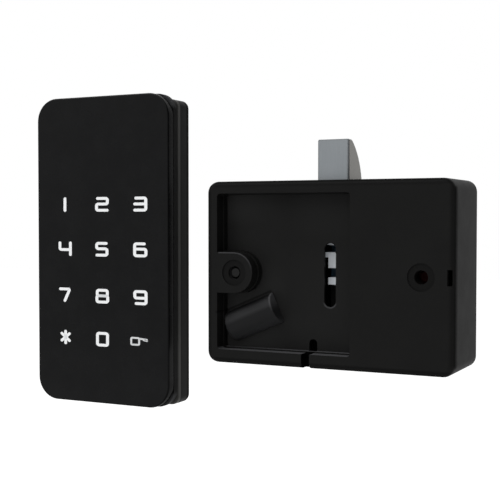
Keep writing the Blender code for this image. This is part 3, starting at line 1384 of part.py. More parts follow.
def make_contacts(unit):
    """The five sprung contacts that join the cells in series."""
    outer_left, inner_left, inner_right, outer_right = CELL_PLACES
    contacts = (
        ("left_terminal", -1, outer_left, outer_left, outer_left),
        ("upper_left_contact", 1, outer_left, inner_left, inner_left),
        ("lower_contact", -1, inner_left, inner_right, inner_right),
        ("upper_right_contact", 1, inner_right, outer_right, outer_right),
        ("right_terminal", -1, outer_right, outer_right, None),
    )
    half = CELL_BAY / 2
    reach = CONTACT_SIZE / 2
    for name, level, left, right, sprung in contacts:
        far = level * (half - SEAT_GAP)
        near = level * (half - SEAT_GAP - CONTACT_THICKNESS)
        low, high = sorted((near, far))
        plate_low = (left - reach, CELL_Y - reach, low)
        plate_high = (right + reach, CELL_Y + reach, high)
        plate = box(name, plate_low, plate_high, unit, "pin_steel")
        if sprung is None:
            continue
        tip = level * (half - SEAT_GAP - CONTACT_SPRING_LENGTH)
        low, high = sorted((tip, (near + far) / 2))
        coil = helix(
            name + "_coil",
            CONTACT_SPRING_RADIUS,
            low,
            high,
            CONTACT_TURNS,
            CONTACT_POINTS,
            CONTACT_WIRE_RADIUS,
            unit,
            "pin_steel",
            (sprung, CELL_Y),
        )
        join(plate, mesh_of_curve(coil, unit))


def mesh_of_curve(curve_object, unit):
    """The same tube as a closed mesh, so that it can be joined to others."""
    bpy.context.view_layer.update()
    graph = bpy.context.evaluated_depsgraph_get()
    mesh = bpy.data.meshes.new_from_object(curve_object.evaluated_get(graph))
    shape = bmesh.new()
    shape.from_mesh(mesh)
    bmesh.ops.remove_doubles(shape, verts=shape.verts, dist=MERGE_DISTANCE)
    shape.to_mesh(mesh)
    shape.free()
    mesh.materials.clear()
    whole = finish_object(curve_object.name + "_mesh", mesh, unit, None)
    bpy.data.objects.remove(curve_object)
    return whole


def make_board(unit):
    """The control board in the right half of the base, with its screws, socket and bolt sensor."""
    edge = rounded(BOARD_LEFT, BOARD_RIGHT, -BOARD_HALF_HEIGHT, BOARD_HALF_HEIGHT, BOARD_CORNER, 2)
    loops = [edge, circle(SCREW_BOSS_RADIUS + SEAT_GAP, (SCREW_X, 0))]
    for place in board_screw_places():
        loops.append(circle(BOARD_SCREW_RADIUS + SEAT_GAP, place, SMALL_SIDES))
    board = extruded("control_board", loops, BOARD_FRONT, BOARD_BACK, unit, "board_green")
    start = BOARD_BACK - BOARD_THICKNESS / 2
    chip_back = BOARD_BACK + CHIP_HEIGHT
    chips = (("chip", CHIP_SIZE, CHIP_SIZE, CHIP_Z), ("driver", DRIVER_WIDTH, DRIVER_HEIGHT, DRIVER_Z))
    for name, width, height, z in chips:
        low = (CHIP_X - width / 2, start, z - height / 2)
        join(board, box(name, low, (CHIP_X + width / 2, chip_back, z + height / 2), unit))
    head = (BOARD_SCREW_HEAD_RADIUS, BOARD_SCREW_HEAD_HEIGHT)
    length = BOARD_THICKNESS + STANDOFF_END - LOCK_WALL - STANDOFF_SKIN
    for number, (x, z) in enumerate(board_screw_places(), start=1):
        screw(f"board_screw_{number}", unit, (x, ON_BOARD, z), *head, BOARD_SCREW_RADIUS, length)
    length = TRAY_THICKNESS + BOARD_FRONT - SEAT_GAP
    for number, (x, z) in enumerate(tray_screw_places(), start=1):
        screw(f"tray_screw_{number}", unit, (x, TRAY_BACK + SEAT_GAP, z), *head, BOARD_SCREW_RADIUS, length)
    make_socket("lock_socket", unit, (CHIP_X, ON_BOARD, LOCK_SOCKET_Z))
    sensor_left = BOARD_LEFT + SEAT_GAP
    low = (sensor_left, ON_BOARD, MAGNET_RISE - SENSOR_WIDTH / 2)
    high = (sensor_left + SENSOR_THICKNESS, ON_BOARD + SENSOR_DEPTH, MAGNET_RISE + SENSOR_WIDTH / 2)
    box("bolt_sensor", low, high, unit, "case_black")


def main():
    keypad, lock = start_scene()
    make_looks()
    make_keypad(keypad)
    make_lock_base(lock)
    make_lid(lock)
    make_bolt(lock)
    make_carriage(lock)
    make_drive(lock)
    make_tray(lock)
    make_cells(lock)
    make_contacts(lock)
    make_board(lock)
    bpy.context.view_layer.update()


main()
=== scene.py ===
# %% [markdown]
# # An electronic cabinet lock, dressed for its picture
# The part comes as plain solids: a touch keypad for the outside of a cabinet door, and a lock unit with a
# sprung bolt for the inside. This file adds what solids don't carry: grain, gloss, printing, small screws
# and light. Each step first says what the real thing is, and then makes it.

import json
import math
from functools import reduce

import bmesh
import bpy
from mathutils import Matrix, Vector

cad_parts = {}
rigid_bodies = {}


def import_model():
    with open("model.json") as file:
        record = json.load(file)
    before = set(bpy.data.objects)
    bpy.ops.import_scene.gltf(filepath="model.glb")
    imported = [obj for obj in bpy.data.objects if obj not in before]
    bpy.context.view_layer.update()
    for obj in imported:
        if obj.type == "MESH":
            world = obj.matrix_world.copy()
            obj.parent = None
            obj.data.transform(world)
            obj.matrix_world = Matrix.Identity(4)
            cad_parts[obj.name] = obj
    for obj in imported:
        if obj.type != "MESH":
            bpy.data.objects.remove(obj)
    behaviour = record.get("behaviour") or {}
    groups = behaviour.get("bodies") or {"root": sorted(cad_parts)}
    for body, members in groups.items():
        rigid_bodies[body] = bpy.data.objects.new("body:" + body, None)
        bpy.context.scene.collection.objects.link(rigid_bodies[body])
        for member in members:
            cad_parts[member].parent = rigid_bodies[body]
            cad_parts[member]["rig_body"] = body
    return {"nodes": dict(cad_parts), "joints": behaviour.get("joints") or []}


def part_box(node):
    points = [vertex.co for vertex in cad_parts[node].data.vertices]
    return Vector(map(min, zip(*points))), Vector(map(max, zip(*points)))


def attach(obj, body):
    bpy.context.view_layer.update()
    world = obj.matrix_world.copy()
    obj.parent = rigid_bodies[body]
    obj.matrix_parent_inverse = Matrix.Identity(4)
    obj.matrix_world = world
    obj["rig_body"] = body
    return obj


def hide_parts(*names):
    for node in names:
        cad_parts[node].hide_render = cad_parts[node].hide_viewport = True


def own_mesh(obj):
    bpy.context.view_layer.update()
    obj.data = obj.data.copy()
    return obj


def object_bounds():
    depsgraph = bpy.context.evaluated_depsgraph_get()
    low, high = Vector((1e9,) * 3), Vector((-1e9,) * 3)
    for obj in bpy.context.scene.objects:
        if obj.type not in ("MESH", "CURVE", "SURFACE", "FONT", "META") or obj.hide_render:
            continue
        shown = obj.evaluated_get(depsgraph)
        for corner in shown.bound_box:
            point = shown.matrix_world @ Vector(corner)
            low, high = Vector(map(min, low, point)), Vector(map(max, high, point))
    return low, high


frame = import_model()
cad_low, cad_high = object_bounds()
nodes = frame["nodes"]
MM = 0.001
print(len(nodes), "nodes, box in mm:", [round(side / MM, 1) for side in cad_high - cad_low])

# %% [markdown]
# ## The camera
# The photograph was taken with a long lens, a little to the right of both units and just above their
# middle. The place and the turn below were fitted to the units' edges. A long lens keeps upright edges
# nearly parallel, so the keypad doesn't look wedge-shaped.

# %% Camera
photo_lens = bpy.data.cameras.new("photo_camera")
photo_lens.lens = 74.1
photo_lens.clip_start = 10 * MM
camera = bpy.data.objects.new("photo_camera", photo_lens)
camera.location = (0.22162, -0.33944, 0.01187)
camera.rotation_euler = (math.radians(90 - 1.737), 0, math.radians(26.219))
bpy.context.scene.collection.objects.link(camera)
bpy.context.scene.camera = camera
bpy.context.scene.view_settings.view_transform = "Standard"
print("camera", round((camera.location - (cad_low + cad_high) / 2).length, 3), "m from the part's middle")

# %% [markdown]
# ## Sums on shader sockets
# A finish is a small sum: this much grain, plus that much dust, times a mask. Written as nodes, such a sum
# takes a dozen lines. A thin wrapper round a socket lets Python's own operators add the Math nodes, so the
# sum reads as a sum. Every other node comes from one method, which sets its options before its inputs.

# %% Wires
def plug(socket, value):
    """Links a wire to an input, or writes a plain number or colour on it."""
    if isinstance(value, Wire):
        socket.id_data.links.new(value.socket, socket)
    else:
        socket.default_value = value


def calculate(operation, *values):
    """A Math node on values, of which at least one is a wire."""
    tree = next(value.socket.id_data for value in values if isinstance(value, Wire))
    node = tree.nodes.new("ShaderNodeMath")
    node.operation = operation
    for socket, value in zip(node.inputs, values):
        plug(socket, value)
    return Wire(node.outputs[0])


class Wire:
    """An output socket that can be used in sums like a number."""

    def __init__(self, socket):
        self.socket = socket

    def __add__(self, other):
        return calculate("ADD", self, other)

    __radd__ = __add__

    def __sub__(self, other):
        return calculate("SUBTRACT", self, other)

    def __rsub__(self, other):
        return calculate("SUBTRACT", other, self)

    def __mul__(self, other):
        return calculate("MULTIPLY", self, other)

    __rmul__ = __mul__

    def __truediv__(self, other):
        return calculate("DIVIDE", self, other)

    def size(self):
        return calculate("ABSOLUTE", self)

    def over(self, edge, softness):
        """0 well under the edge, 1 well over it, with a soft step between."""
        rise = (self - edge) / softness + 0.5
        return calculate("MINIMUM", calculate("MAXIMUM", rise, 0), 1)


print("sums on sockets ready")

# %% [markdown]
# ## A finish and its nodes
# Every finish starts from the Principled shader. What is the same all over the surface is written on the
# shader's own sockets, and only what varies is wired. Patterns read Object coordinates, which are metres
# here, so a grain of a fifth of a millimetre is asked for by its real size.

# %% Node trees
class Nodes:
    """A node tree, with one method that adds a node."""

    def __init__(self, owner):
        owner.use_nodes = True
        self.tree = owner.node_tree

    def add(self, kind, settings=None, inputs=None, out=0):
        """Adds a node with these settings, then these inputs, and returns one of its outputs."""
        node = self.tree.nodes.new("ShaderNode" + kind)
        for name, value in (settings or {}).items():
            if name == "stops":
                self.set_stops(node.color_ramp, value)
            else:
                setattr(node, name, value)
        for name, value in (inputs or {}).items():
            plug(node.inputs[name], value)
        return Wire(node.outputs[out])

    def set_stops(self, ramp, stops):
        """Gives a colour ramp these places and colours."""
        while len(ramp.elements) < len(stops):
            ramp.elements.new(1)
        for element, (place, colour) in zip(ramp.elements, stops):
            element.position = place
            element.color = (*colour, 1)

    def mix(self, mask, low, high):
        """The low colour where the mask is 0, and the high one where it is 1."""
        low, high = [value if isinstance(value, Wire) else (*value, 1) for value in (low, high)]
        return self.add("Mix", {"data_type": "RGBA"}, {0: mask, 6: low, 7: high}, out=2)


print("node trees can be filled")


# %% Finishes
class Finish(Nodes):
    """A material whose constant values sit on the shader's own sockets."""

    def __init__(self, name, constants):
        self.material = bpy.data.materials.new(name)
        super().__init__(self.material)
        self.shader = self.tree.nodes["Principled BSDF"]
        for socket, value in constants.items():
            self.shader.inputs[socket].default_value = value
        self.place = self.add("TexCoord", out="Object")

    def axis(self, name):
        """How far along X, Y or Z a point lies, in metres."""
        return self.add("SeparateXYZ", inputs={"Vector": self.place}, out=name)

    def noise(self, size, detail=2, roughness=0.5, stretch=(1, 1, 1)):
        """Cloudy noise whose patches are about this size, in metres."""
        place = self.place
        if stretch != (1, 1, 1):
            place = self.add("Mapping", inputs={"Vector": place, "Scale": stretch})
        inputs = {"Vector": place, "Scale": 1 / size, "Detail": detail, "Roughness": roughness}
        return self.add("TexNoise", inputs=inputs)

    def pits(self, size):
        """The distance from the nearest of many scattered points, about this far apart."""
        inputs = {"Vector": self.place, "Scale": 1 / size}
        return self.add("TexVoronoi", inputs=inputs)

    def feed(self, socket, value):
        """Wires a value to one of the shader's inputs."""
        plug(self.shader.inputs[socket], value)

    def bump(self, height, depth):
        """Feeds a height from 0 to 1 to the shader's normal, as dents this deep in metres."""
        self.feed("Normal", self.add("Bump", inputs={"Height": height, "Distance": depth}))

    def darken(self, mask):
        """Turns the surface into a black without gloss, as far as the mask goes."""
        inputs = {"Base Color": (0.0015, 0.0015, 0.0015, 1), "Roughness": 1, "Specular IOR Level": 0}
        dull = self.add("BsdfPrincipled", inputs=inputs)
        both = self.add("MixShader", inputs={0: mask, 1: Wire(self.shader.outputs[0]), 2: dull})
        plug(self.tree.nodes["Material Output"].inputs["Surface"], both)


print("finishes ready")

# %% [markdown]
# ## Light and background
# The picture has a white ground without a horizon. The white is only what the camera, the reflections and
# clear things see, so it puts no more light on the part. The bolt's chamfer and the round front edges show
# a dark stripe between two lighter faces, as if a dark curtain hung on the right. So the world gets such a
# curtain, as a soft patch in one direction. The lamps are large, one high and one in front.

# %% World
DAYLIGHT = 0.55
CURTAIN = (0.996, 0.087, 0.0)
CURTAIN_EDGE = 0.62
CURTAIN_SOFTNESS = 0.55
CURTAIN_TAKES = 0.97
world = bpy.data.worlds.new("pale_studio")
bpy.context.scene.world = world
sky = Nodes(world)
ray = {name: sky.add("LightPath", out=f"Is {name} Ray") for name in ("Camera", "Glossy", "Transmission")}
toward = sky.add("TexCoord", out="Generated")
facing = sky.add("VectorMath", {"operation": "DOT_PRODUCT"}, {0: toward, 1: CURTAIN}, out="Value")
mirrored = calculate("MINIMUM", ray["Glossy"] + ray["Transmission"], 1)
studio = DAYLIGHT + mirrored * (1 - DAYLIGHT)
studio = studio * (1 - CURTAIN_TAKES * facing.over(CURTAIN_EDGE, CURTAIN_SOFTNESS))
background = sky.tree.nodes["Background"]
plug(background.inputs["Color"], (1, 1, 1, 1))
plug(background.inputs["Strength"], ray["Camera"] + (1 - ray["Camera"]) * studio)
print("world:", len(sky.tree.nodes), "nodes")


# %% Lamps
def soft_lamp(name, place, watts):
    """A large square lamp that points at the middle of the part."""
    data = bpy.data.lights.new(name, "AREA")
    data.size = 0.8
    data.energy = watts
    lamp = bpy.data.objects.new(name, data)
    lamp.location = place
    lamp.rotation_euler = ((cad_low + cad_high) / 2 - Vector(place)).to_track_quat("-Z", "Y").to_euler()
    bpy.context.scene.collection.objects.link(lamp)


soft_lamp("front_softbox", (0.25, -1.00, 0.90), 3.5)
soft_lamp("overhead_softbox", (-0.45, -0.40, 1.00), 8.0)
print(len(bpy.data.lights), "lamps")

# %% [markdown]
# ## The floor
# The two units float in the picture, so the floor lies well below them and only catches their soft shadow.
# For the camera it also glows, and a little less for reflections and clear things. That lifts the lit floor
# to white, and leaves the shadow.

# %% Floor
def finished(name, shape, look):
    """Turns a bmesh into an object at the origin, with this finish."""
    mesh = bpy.data.meshes.new(name)
    shape.to_mesh(mesh)
    shape.free()
    mesh.materials.append(look)
    piece = bpy.data.objects.new(name, mesh)
    bpy.context.scene.collection.objects.link(piece)
    return piece


pale = Finish("pale_floor", {"Roughness": 0.9, "Specular IOR Level": 0, "Emission Strength": 0.60})
pale.feed("Base Color", pale.mix(pale.noise(0.5), (0.86, 0.86, 0.86), (0.88, 0.88, 0.88)))
straight, glossy, through = [pale.add("LightPath", out=f"Is {name} Ray") for name in ray]
glow = calculate("MINIMUM", straight + 0.6 * (glossy + through), 1)
pale.feed("Emission Color", pale.mix(glow, (0, 0, 0), (1, 1, 1)))
FLOOR_HEIGHT = -0.25
sheet = bmesh.new()
bmesh.ops.create_grid(sheet, x_segments=1, y_segments=1, size=4)
sheet.transform(Matrix.Translation((0, 0, FLOOR_HEIGHT)))
floor = finished("pale_floor", sheet, pale.material)
print("floor", round((cad_low.z - FLOOR_HEIGHT) / MM), "mm under the keypad")

# %% [markdown]
# ## Black moulded plastic
# Both housings are moulded in spark-eroded tools, which leaves an even satin grain of about a fifth of a
# millimetre. The grain is a bump of small pits, with a faint cloudiness in colour and gloss, as no moulding
# is quite even. Black plastic looks dark only if its reflections are weak, so the specular level is low.

# %% Satin blacks
def satin_black(name, shade, roughness, grain, shine=0.09):
    """A moulded black. Its colour wanders from this shade to twice as much."""
    finish = Finish(name, {"Specular IOR Level": shine})
    cloud = finish.noise(14 * MM, detail=3)
    speck = finish.noise(0.7 * MM)
    dark = (shade, shade, shade)
    pale = (2 * shade, 2 * shade, 1.93 * shade)
    finish.colour = finish.mix(0.65 * cloud + 0.35 * speck, dark, pale)
    finish.feed("Base Color", finish.colour)
    finish.feed("Roughness", roughness - 0.05 + 0.10 * finish.noise(6 * MM, detail=3))
    finish.bump(0.6 * finish.pits(grain) + 0.4 * finish.noise(grain / 2), 0.010 * MM)
    return finish


keypad_case = satin_black("case_black", 0.0035, 0.50, 0.20 * MM, shine=0.075)
keypad_frame = satin_black("frame_black", 0.0034, 0.55, 0.20 * MM, shine=0.040)
housing = satin_black("lock_black", 0.0046, 0.55, 0.24 * MM, shine=0.068)
inner_black = satin_black("inner_black", 0.0050, 0.60, 0.30 * MM).material
print("four satin blacks")

# %% [markdown]
# ## Places on the keypad's side
# The keypad's side isn't one black all over: it gets painted light and shade. A band of painted sheen runs
# round the case behind the frame, with a paler streak of painted highlight along its rear half, and the
# foot of the case by the door gets painted shade. The frame's right corners reach past the rounder corners
# of the panel, and get a painted highlight where they catch the light. Each place needs a mask that is 1
# there and 0 elsewhere. Soft steps along the axes make such masks, and where two of them multiply, the
# place is bounded by both.

# %% Band, streak and corners
def between(value, low, high):
    """1 where the value lies between these two, with soft ends."""
    return value.over(low, 0.2 * MM) * (1 - value.over(high, 0.2 * MM))


backward = keypad_case.axis("Y")
band = between(backward, -10.1 * MM, -7.3 * MM)
streak = between(backward, -8.9 * MM, -7.3 * MM)
with_sheen = keypad_case.mix(band, keypad_case.colour, (0.0320, 0.0315, 0.0300))
keypad_case.feed("Base Color", keypad_case.mix(streak, with_sheen, (0.0800, 0.0790, 0.0750)))
keypad_case.darken(0.55 * between(backward, -2.7 * MM, -0.9 * MM))
corners = keypad_frame.axis("Z").size().over(53.0 * MM, 1.5 * MM)
corners = corners * keypad_frame.axis("X").over(24.5 * MM, 1.5 * MM)
keypad_frame.feed("Base Color", keypad_frame.mix(corners, keypad_frame.colour, (0.0330, 0.0335, 0.0350)))
print("the case has a band, a streak and a shaded foot, and the frame two paler corners")

# %% [markdown]
# ## Places on the lock's housing
# The lock's housing isn't the same all over either: it gets painted light and shade in places. Its places
# are measured from the middle of its front face, as its drawing has them: sideways, up and down, and back
# from the face. The depth matters, because the rear cover has the same finish and would show the same
# marks. The first place is the recess's floor. Painted light lifts it a little greyer than the faces round
# it, against the shade of the recess: most at its foot, along its left and in its far corner.

# %% Recess floor
lock_low, lock_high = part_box("lock_base")
lock_middle = (lock_low + lock_high) / 2
lock_half = (lock_high - lock_low) / 2
across = housing.axis("X") - lock_middle.x
height = housing.axis("Z") - lock_middle.z
depth = housing.axis("Y") - lock_low.y
in_recess = between(across, -40.9 * MM, 9.7 * MM) * between(height, -27.55 * MM, 28.15 * MM)
on_floor = in_recess * between(depth, 7.1 * MM, 7.7 * MM)
light_toward_foot = 0.3358 - 12 * height
colour = housing.mix(on_floor * light_toward_foot, housing.colour, (0.0130, 0.0130, 0.0128))
light_on_left = 1 - across.over(-26.2 * MM, 20.0 * MM)
ear_level = height.over(-2.85 * MM, 14.0 * MM) * (1 - height.over(20.15 * MM, 8.0 * MM))
colour = housing.mix(on_floor * light_on_left * (1 - 0.75 * ear_level), colour, (0.0260, 0.0260, 0.0256))
light_in_far_corner = height.over(16.65 * MM, 12.0 * MM) * across.over(-18.2 * MM, 20.0 * MM)
colour = housing.mix(0.55 * on_floor * light_in_far_corner, colour, (0.0200, 0.0200, 0.0197))
print("recess floor, greyer than the rest")

# %% [markdown]
# The motor's bump is a half-round ridge that lies at a slant. Its foot and its upper flank get painted
# highlights, its crest stays darker and its upper edge gets painted shade. A mask that follows the ridge
# needs axes that are turned with it, and the sine and cosine of its slant give them. A colour ramp across
# the ridge then holds its greys, by their height on it in millimetres.

# %% Bump over the motor
TILT = math.radians(23)
aside = across + 29.2 * MM
above = height + 16.1 * MM
along = math.cos(TILT) * aside + math.sin(TILT) * above
upward = math.cos(TILT) * above - math.sin(TILT) * aside
on_bump = between(along, -10.5 * MM, 10.5 * MM) * between(upward, -6.8 * MM, 6.3 * MM)
on_bump = on_bump * between(depth, -1.5 * MM, 7.2 * MM)
BUMP_LIGHT_AND_SHADE = {-6.2: 0.040, -4.8: 0.028, -3.0: 0.014, 0.5: 0.011, 1.8: 0.024, 3.6: 0.024, 4.9: 0.008}
RAMP_START = -7
RAMP_LENGTH = 14
stops = []
for rise, grey in BUMP_LIGHT_AND_SHADE.items():
    stops.append(((rise - RAMP_START) / RAMP_LENGTH, (grey, 1.01 * grey, 1.05 * grey)))
share = (upward - RAMP_START * MM) / (RAMP_LENGTH * MM)
colour = housing.mix(on_bump, colour, housing.add("ValToRGB", {"stops": stops}, {"Fac": share}))
print(len(stops), "greys across the bump")

# %% [markdown]
# Edges that catch the light get painted highlights: the ledge at the recess's foot, the upper rim of the
# ear, the bump's right rim and the foot of the slot. The wall of the left screw hole gets painted light,
# which lifts it out of its shade. The round ones are found by their distance from a centre.

# %% Painted highlights on edges
HOLE_ASIDE = 34 * MM


def distance(sideways, upright):
    """How far a point is from a centre, from its two ways there."""
    return calculate("SQRT", sideways * sideways + upright * upright)


ledge = between(depth, 0.2 * MM, 4.3 * MM) + between(depth, 4.9 * MM, 7.2 * MM)
ledge = in_recess * ledge * (1 - height.over(-26.75 * MM, 0.1 * MM))
past_hole = across + HOLE_ASIDE
ear_rim = between(distance(calculate("MAXIMUM", past_hole, 0), height), 6.8 * MM, 7.3 * MM)
ear_rim = ear_rim * between(across, -40.2 * MM, -26.2 * MM) * height.over(3.15 * MM, 6.0 * MM)
ear_rim = ear_rim * (1 - depth.over(0.6 * MM, 0.2 * MM))
bump_rim = between(along, 9.3 * MM, 10.1 * MM) * between(depth, -1.5 * MM, 7.0 * MM)
bump_rim = bump_rim * upward.over(1.5 * MM, 5.0 * MM) * (1 - upward.over(6.2 * MM, 0.6 * MM))
slot_foot = between(distance(across + 0.5 * MM, height + 9.4 * MM), 2.0 * MM, 2.6 * MM)
slot_foot = on_floor * slot_foot * (1 - height.over(-10.35 * MM, 1.0 * MM))
bore = 1 - distance(past_hole, height).over(2.5 * MM, 0.1 * MM)
bore = bore * between(depth, 1.3 * MM, 10.5 * MM)
highlit = calculate("MINIMUM", ledge + 0.7 * ear_rim + bump_rim + 0.7 * slot_foot + 0.5 * bore, 1)
housing.feed("Base Color", housing.mix(highlit, colour, (0.0600, 0.0600, 0.0630)))
print("five worn edges")

# %% [markdown]
# Other places are darker than the rest: the channel for the cable in the lower rim, the rings round the
# two screw holes, the outline of the front face, the round at its right edge and the seam along the top
# of the bump. The channel, the outline, the round and the seam are painted shade. All of them lose their
# gloss along with their colour. Where two of these masks meet, the stronger one holds.

# %% Dark places
channel = between(across, -8.3 * MM, -5.1 * MM) * between(depth, 0.3 * MM, 4.9 * MM)
channel = channel * (1 - height.over(-27.05 * MM, 0.3 * MM))
hole_rings = 1 - distance(across.size() - HOLE_ASIDE, height).over(4.6 * MM, 0.1 * MM)
hole_rings = hole_rings * (1 - depth.over(0.6 * MM, 0.2 * MM))
inset = calculate("MINIMUM", lock_half.z - height.size(), across + lock_half.x)
outline = 0.4 * (1 - inset.over(1.9 * MM, 0.8 * MM)) + 0.5 * (1 - inset.over(0.6 * MM, 0.6 * MM))
outline = outline * (1 - depth.over(1.3 * MM, 1.0 * MM))
right_round = across.over(44.75 * MM, 0.3 * MM) * (1 - depth.over(3.6 * MM, 2.6 * MM))
seam = between(upward, 6.0 * MM, 6.7 * MM) * between(along, -10.5 * MM, 9.6 * MM)
seam = seam * between(depth, -1.5 * MM, 7.7 * MM)
dark_places = [channel, 0.25 * hole_rings, outline, 0.65 * right_round, 0.5 * seam]
housing.darken(reduce(lambda one, other: calculate("MAXIMUM", one, other), dark_places))
print(len(dark_places), "dark places")

# %% [markdown]
# ## The touch panel
# The keypad's front is one sheet of acrylic, black printed from behind. It is far smoother than the cases,
# with only the faint smudges that fingers leave. They make the sheet a little paler and rougher, and a
# finer wiping adds to the roughness alone. The cut edge round the sheet is duller and darker than its
# face: a dull cut edge with painted shade on it, deepest at the foot.

# %% Gloss acrylic
acrylic = Finish("gloss_acrylic", {"Specular IOR Level": 0.095})
smudge = acrylic.noise(9 * MM, detail=4, roughness=0.6).over(0.55, 0.35)
fine_wipe = acrylic.noise(1.6 * MM, detail=3, stretch=(0.35, 1, 1))
acrylic.feed("Base Color", acrylic.mix(smudge, (0.0040, 0.0041, 0.0044), (0.0056, 0.0057, 0.0060)))
acrylic.feed("Roughness", 0.22 + 0.07 * smudge + 0.04 * fine_wipe)
cut_edge = acrylic.axis("Y").over(-16.42 * MM, 0.08 * MM)
foot = 1 - acrylic.axis("Z").over(-50 * MM, 6 * MM)
acrylic.darken((0.3 + 0.3 * foot) * cut_edge)
print("gloss acrylic, with a dull edge")

# %% [markdown]
# ## Metal
# The bolt is a zinc casting with a satin nickel finish: a calm grey with very fine drawn lines. The pins
# and screws are plain steel, the inserts turned brass and the magnet bright nickel. One function serves
# all, with the colour, the gloss and the direction of the drawn lines as its values.

# %% Metals
def worked_metal(name, dark, pale, roughness, lines, line_depth):
    """A metal with fine drawn lines, stretched along the axis whose share in lines is small."""
    finish = Finish(name, {"Metallic": 1.0})
    drawn = finish.noise(0.25 * MM, detail=3, stretch=lines)
    cloud = finish.noise(7 * MM, detail=3)
    finish.colour = finish.mix(0.5 * drawn + 0.5 * cloud, dark, pale)
    finish.feed("Base Color", finish.colour)
    finish.feed("Roughness", roughness - 0.06 + 0.08 * drawn + 0.06 * cloud)
    finish.bump(drawn, line_depth)
    return finish


along_x = (0.1, 1, 1)
along_y = (1, 0.1, 1)
along_z = (1, 1, 0.04)
METALS = {
    "plain_steel": ((0.42, 0.42, 0.42), (0.56, 0.56, 0.55), 0.34, along_y, 0.003 * MM),
    "black_steel": ((0.014, 0.014, 0.014), (0.024, 0.024, 0.024), 0.42, along_x, 0.004 * MM),
    "turned_brass": ((0.52, 0.35, 0.13), (0.70, 0.52, 0.24), 0.30, along_y, 0.003 * MM),
    "bright_nickel": ((0.55, 0.53, 0.48), (0.66, 0.64, 0.60), 0.20, along_x, 0.002 * MM),
}
metals = {name: worked_metal(name, *values).material for name, values in METALS.items()}
plain_steel, black_steel, turned_brass, bright_nickel = metals.values()
print(len(metals), "metals")

# %% [markdown]
# The bolt's nickel needs three places of its own. Its right side is painted warmer, with the tint of the
# warm light that falls on that side. The chamfer between front and side gets painted shade, the dark
# stripe between two lighter faces, and the upper end is painted darker too. The chamfer is duller as well.

# %% Nickel on the bolt
bolt = worked_metal("satin_nickel", (0.205, 0.222, 0.234), (0.265, 0.282, 0.296), 0.36, along_z, 0.003 * MM)
bolt_low, bolt_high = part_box("latch_bolt")
right_side = bolt.axis("X").over(bolt_high.x - 0.1 * MM, 0.1 * MM)
warmer = bolt.mix(right_side, bolt.colour, (0.242, 0.236, 0.222))
chamfer = bolt.axis("X").over(bolt_high.x - 0.8 * MM, 0.1 * MM)
chamfer = chamfer * (1 - bolt.axis("Y").over(bolt_low.y + 0.7 * MM, 0.1 * MM))
upper_end = bolt.axis("Z").over(bolt_high.z - 0.4 * MM, 0.1 * MM)
darker_edges = 0.3 * calculate("MAXIMUM", chamfer, upper_end)
bolt.feed("Base Color", bolt.mix(darker_edges, warmer, (0.135, 0.137, 0.140)))
bolt.feed("Roughness", 0.38 + 0.20 * chamfer)
print("the bolt's nickel, with a warmer side")

# %% [markdown]
# ## Pale mouldings
# The carriage that shows through the slot is white acetal, a slippery plastic. The gear is moulded in the
# natural, warmer kind, and the cable sockets are cream nylon. They share a soft cloudiness from the flow of
# the melt, and a strip of teal film has it too.

# %% Pale plastics
def pale_plastic(name, dark, pale, roughness):
    """A plastic whose colour drifts between two tones."""
    finish = Finish(name, {"Specular IOR Level": 0.4})
    flow = finish.noise(3 * MM, detail=3, stretch=(1, 1, 0.4))
    finish.feed("Base Color", finish.mix(flow, dark, pale))
    finish.feed("Roughness", roughness - 0.04 + 0.08 * finish.noise(1.5 * MM))
    finish.bump(finish.noise(0.25 * MM), 0.006 * MM)
    return finish


gear_acetal = pale_plastic("gear_acetal", (0.62, 0.63, 0.57), (0.72, 0.73, 0.68), 0.45).material
cream_nylon = pale_plastic("cream_nylon", (0.72, 0.69, 0.60), (0.80, 0.77, 0.69), 0.45).material
teal_film = pale_plastic("teal_film", (0.012, 0.034, 0.052), (0.016, 0.042, 0.064), 0.40).material
print("three pale plastics")

# %% [markdown]
# Where the slot's walls and the housing shade the carriage, it is painted black: painted shade, which
# leaves white only the bars that show through the slot. The border runs down along the left rail, steps
# round a small white tab beside the upper bar, cuts that bar's other shoulder off at a slant, and leaves
# everything under the lower bar black.

# %% Carriage with painted shade
carriage = pale_plastic("white_acetal", (0.56, 0.59, 0.62), (0.64, 0.67, 0.70), 0.42)
BORDER_WIDTH = 0.05 * MM
sideways = carriage.axis("X")
rise = carriage.axis("Z")
beside_lower_bar = 1 - rise.over(-8.3 * MM, BORDER_WIDTH)
left_rail = 1 - (sideways - 0.7 * MM * beside_lower_bar).over(87.0 * MM, BORDER_WIDTH)
tab = rise.over(-1.55 * MM, BORDER_WIDTH) * (1 - rise.over(0.25 * MM, BORDER_WIDTH))
under_bars = 1 - rise.over(-11.1 * MM, BORDER_WIDTH)
slant = (sideways - 90.2 * MM) + 0.77 * (rise - 0.25 * MM)
shoulder = slant.over(0, BORDER_WIDTH) * (1 - rise.over(1.0 * MM, BORDER_WIDTH))
carriage.darken(1 - (1 - left_rail * (1 - tab)) * (1 - under_bars) * (1 - shoulder))
print("two-tone carriage")

# %% [markdown]
# ## Circuit boards
# A board is glass cloth under a green solder mask, and its copper tracks show as raised lines of a lighter
# green. Brick mortar makes a fair net of straight tracks: it is thin, even and turns only square corners.

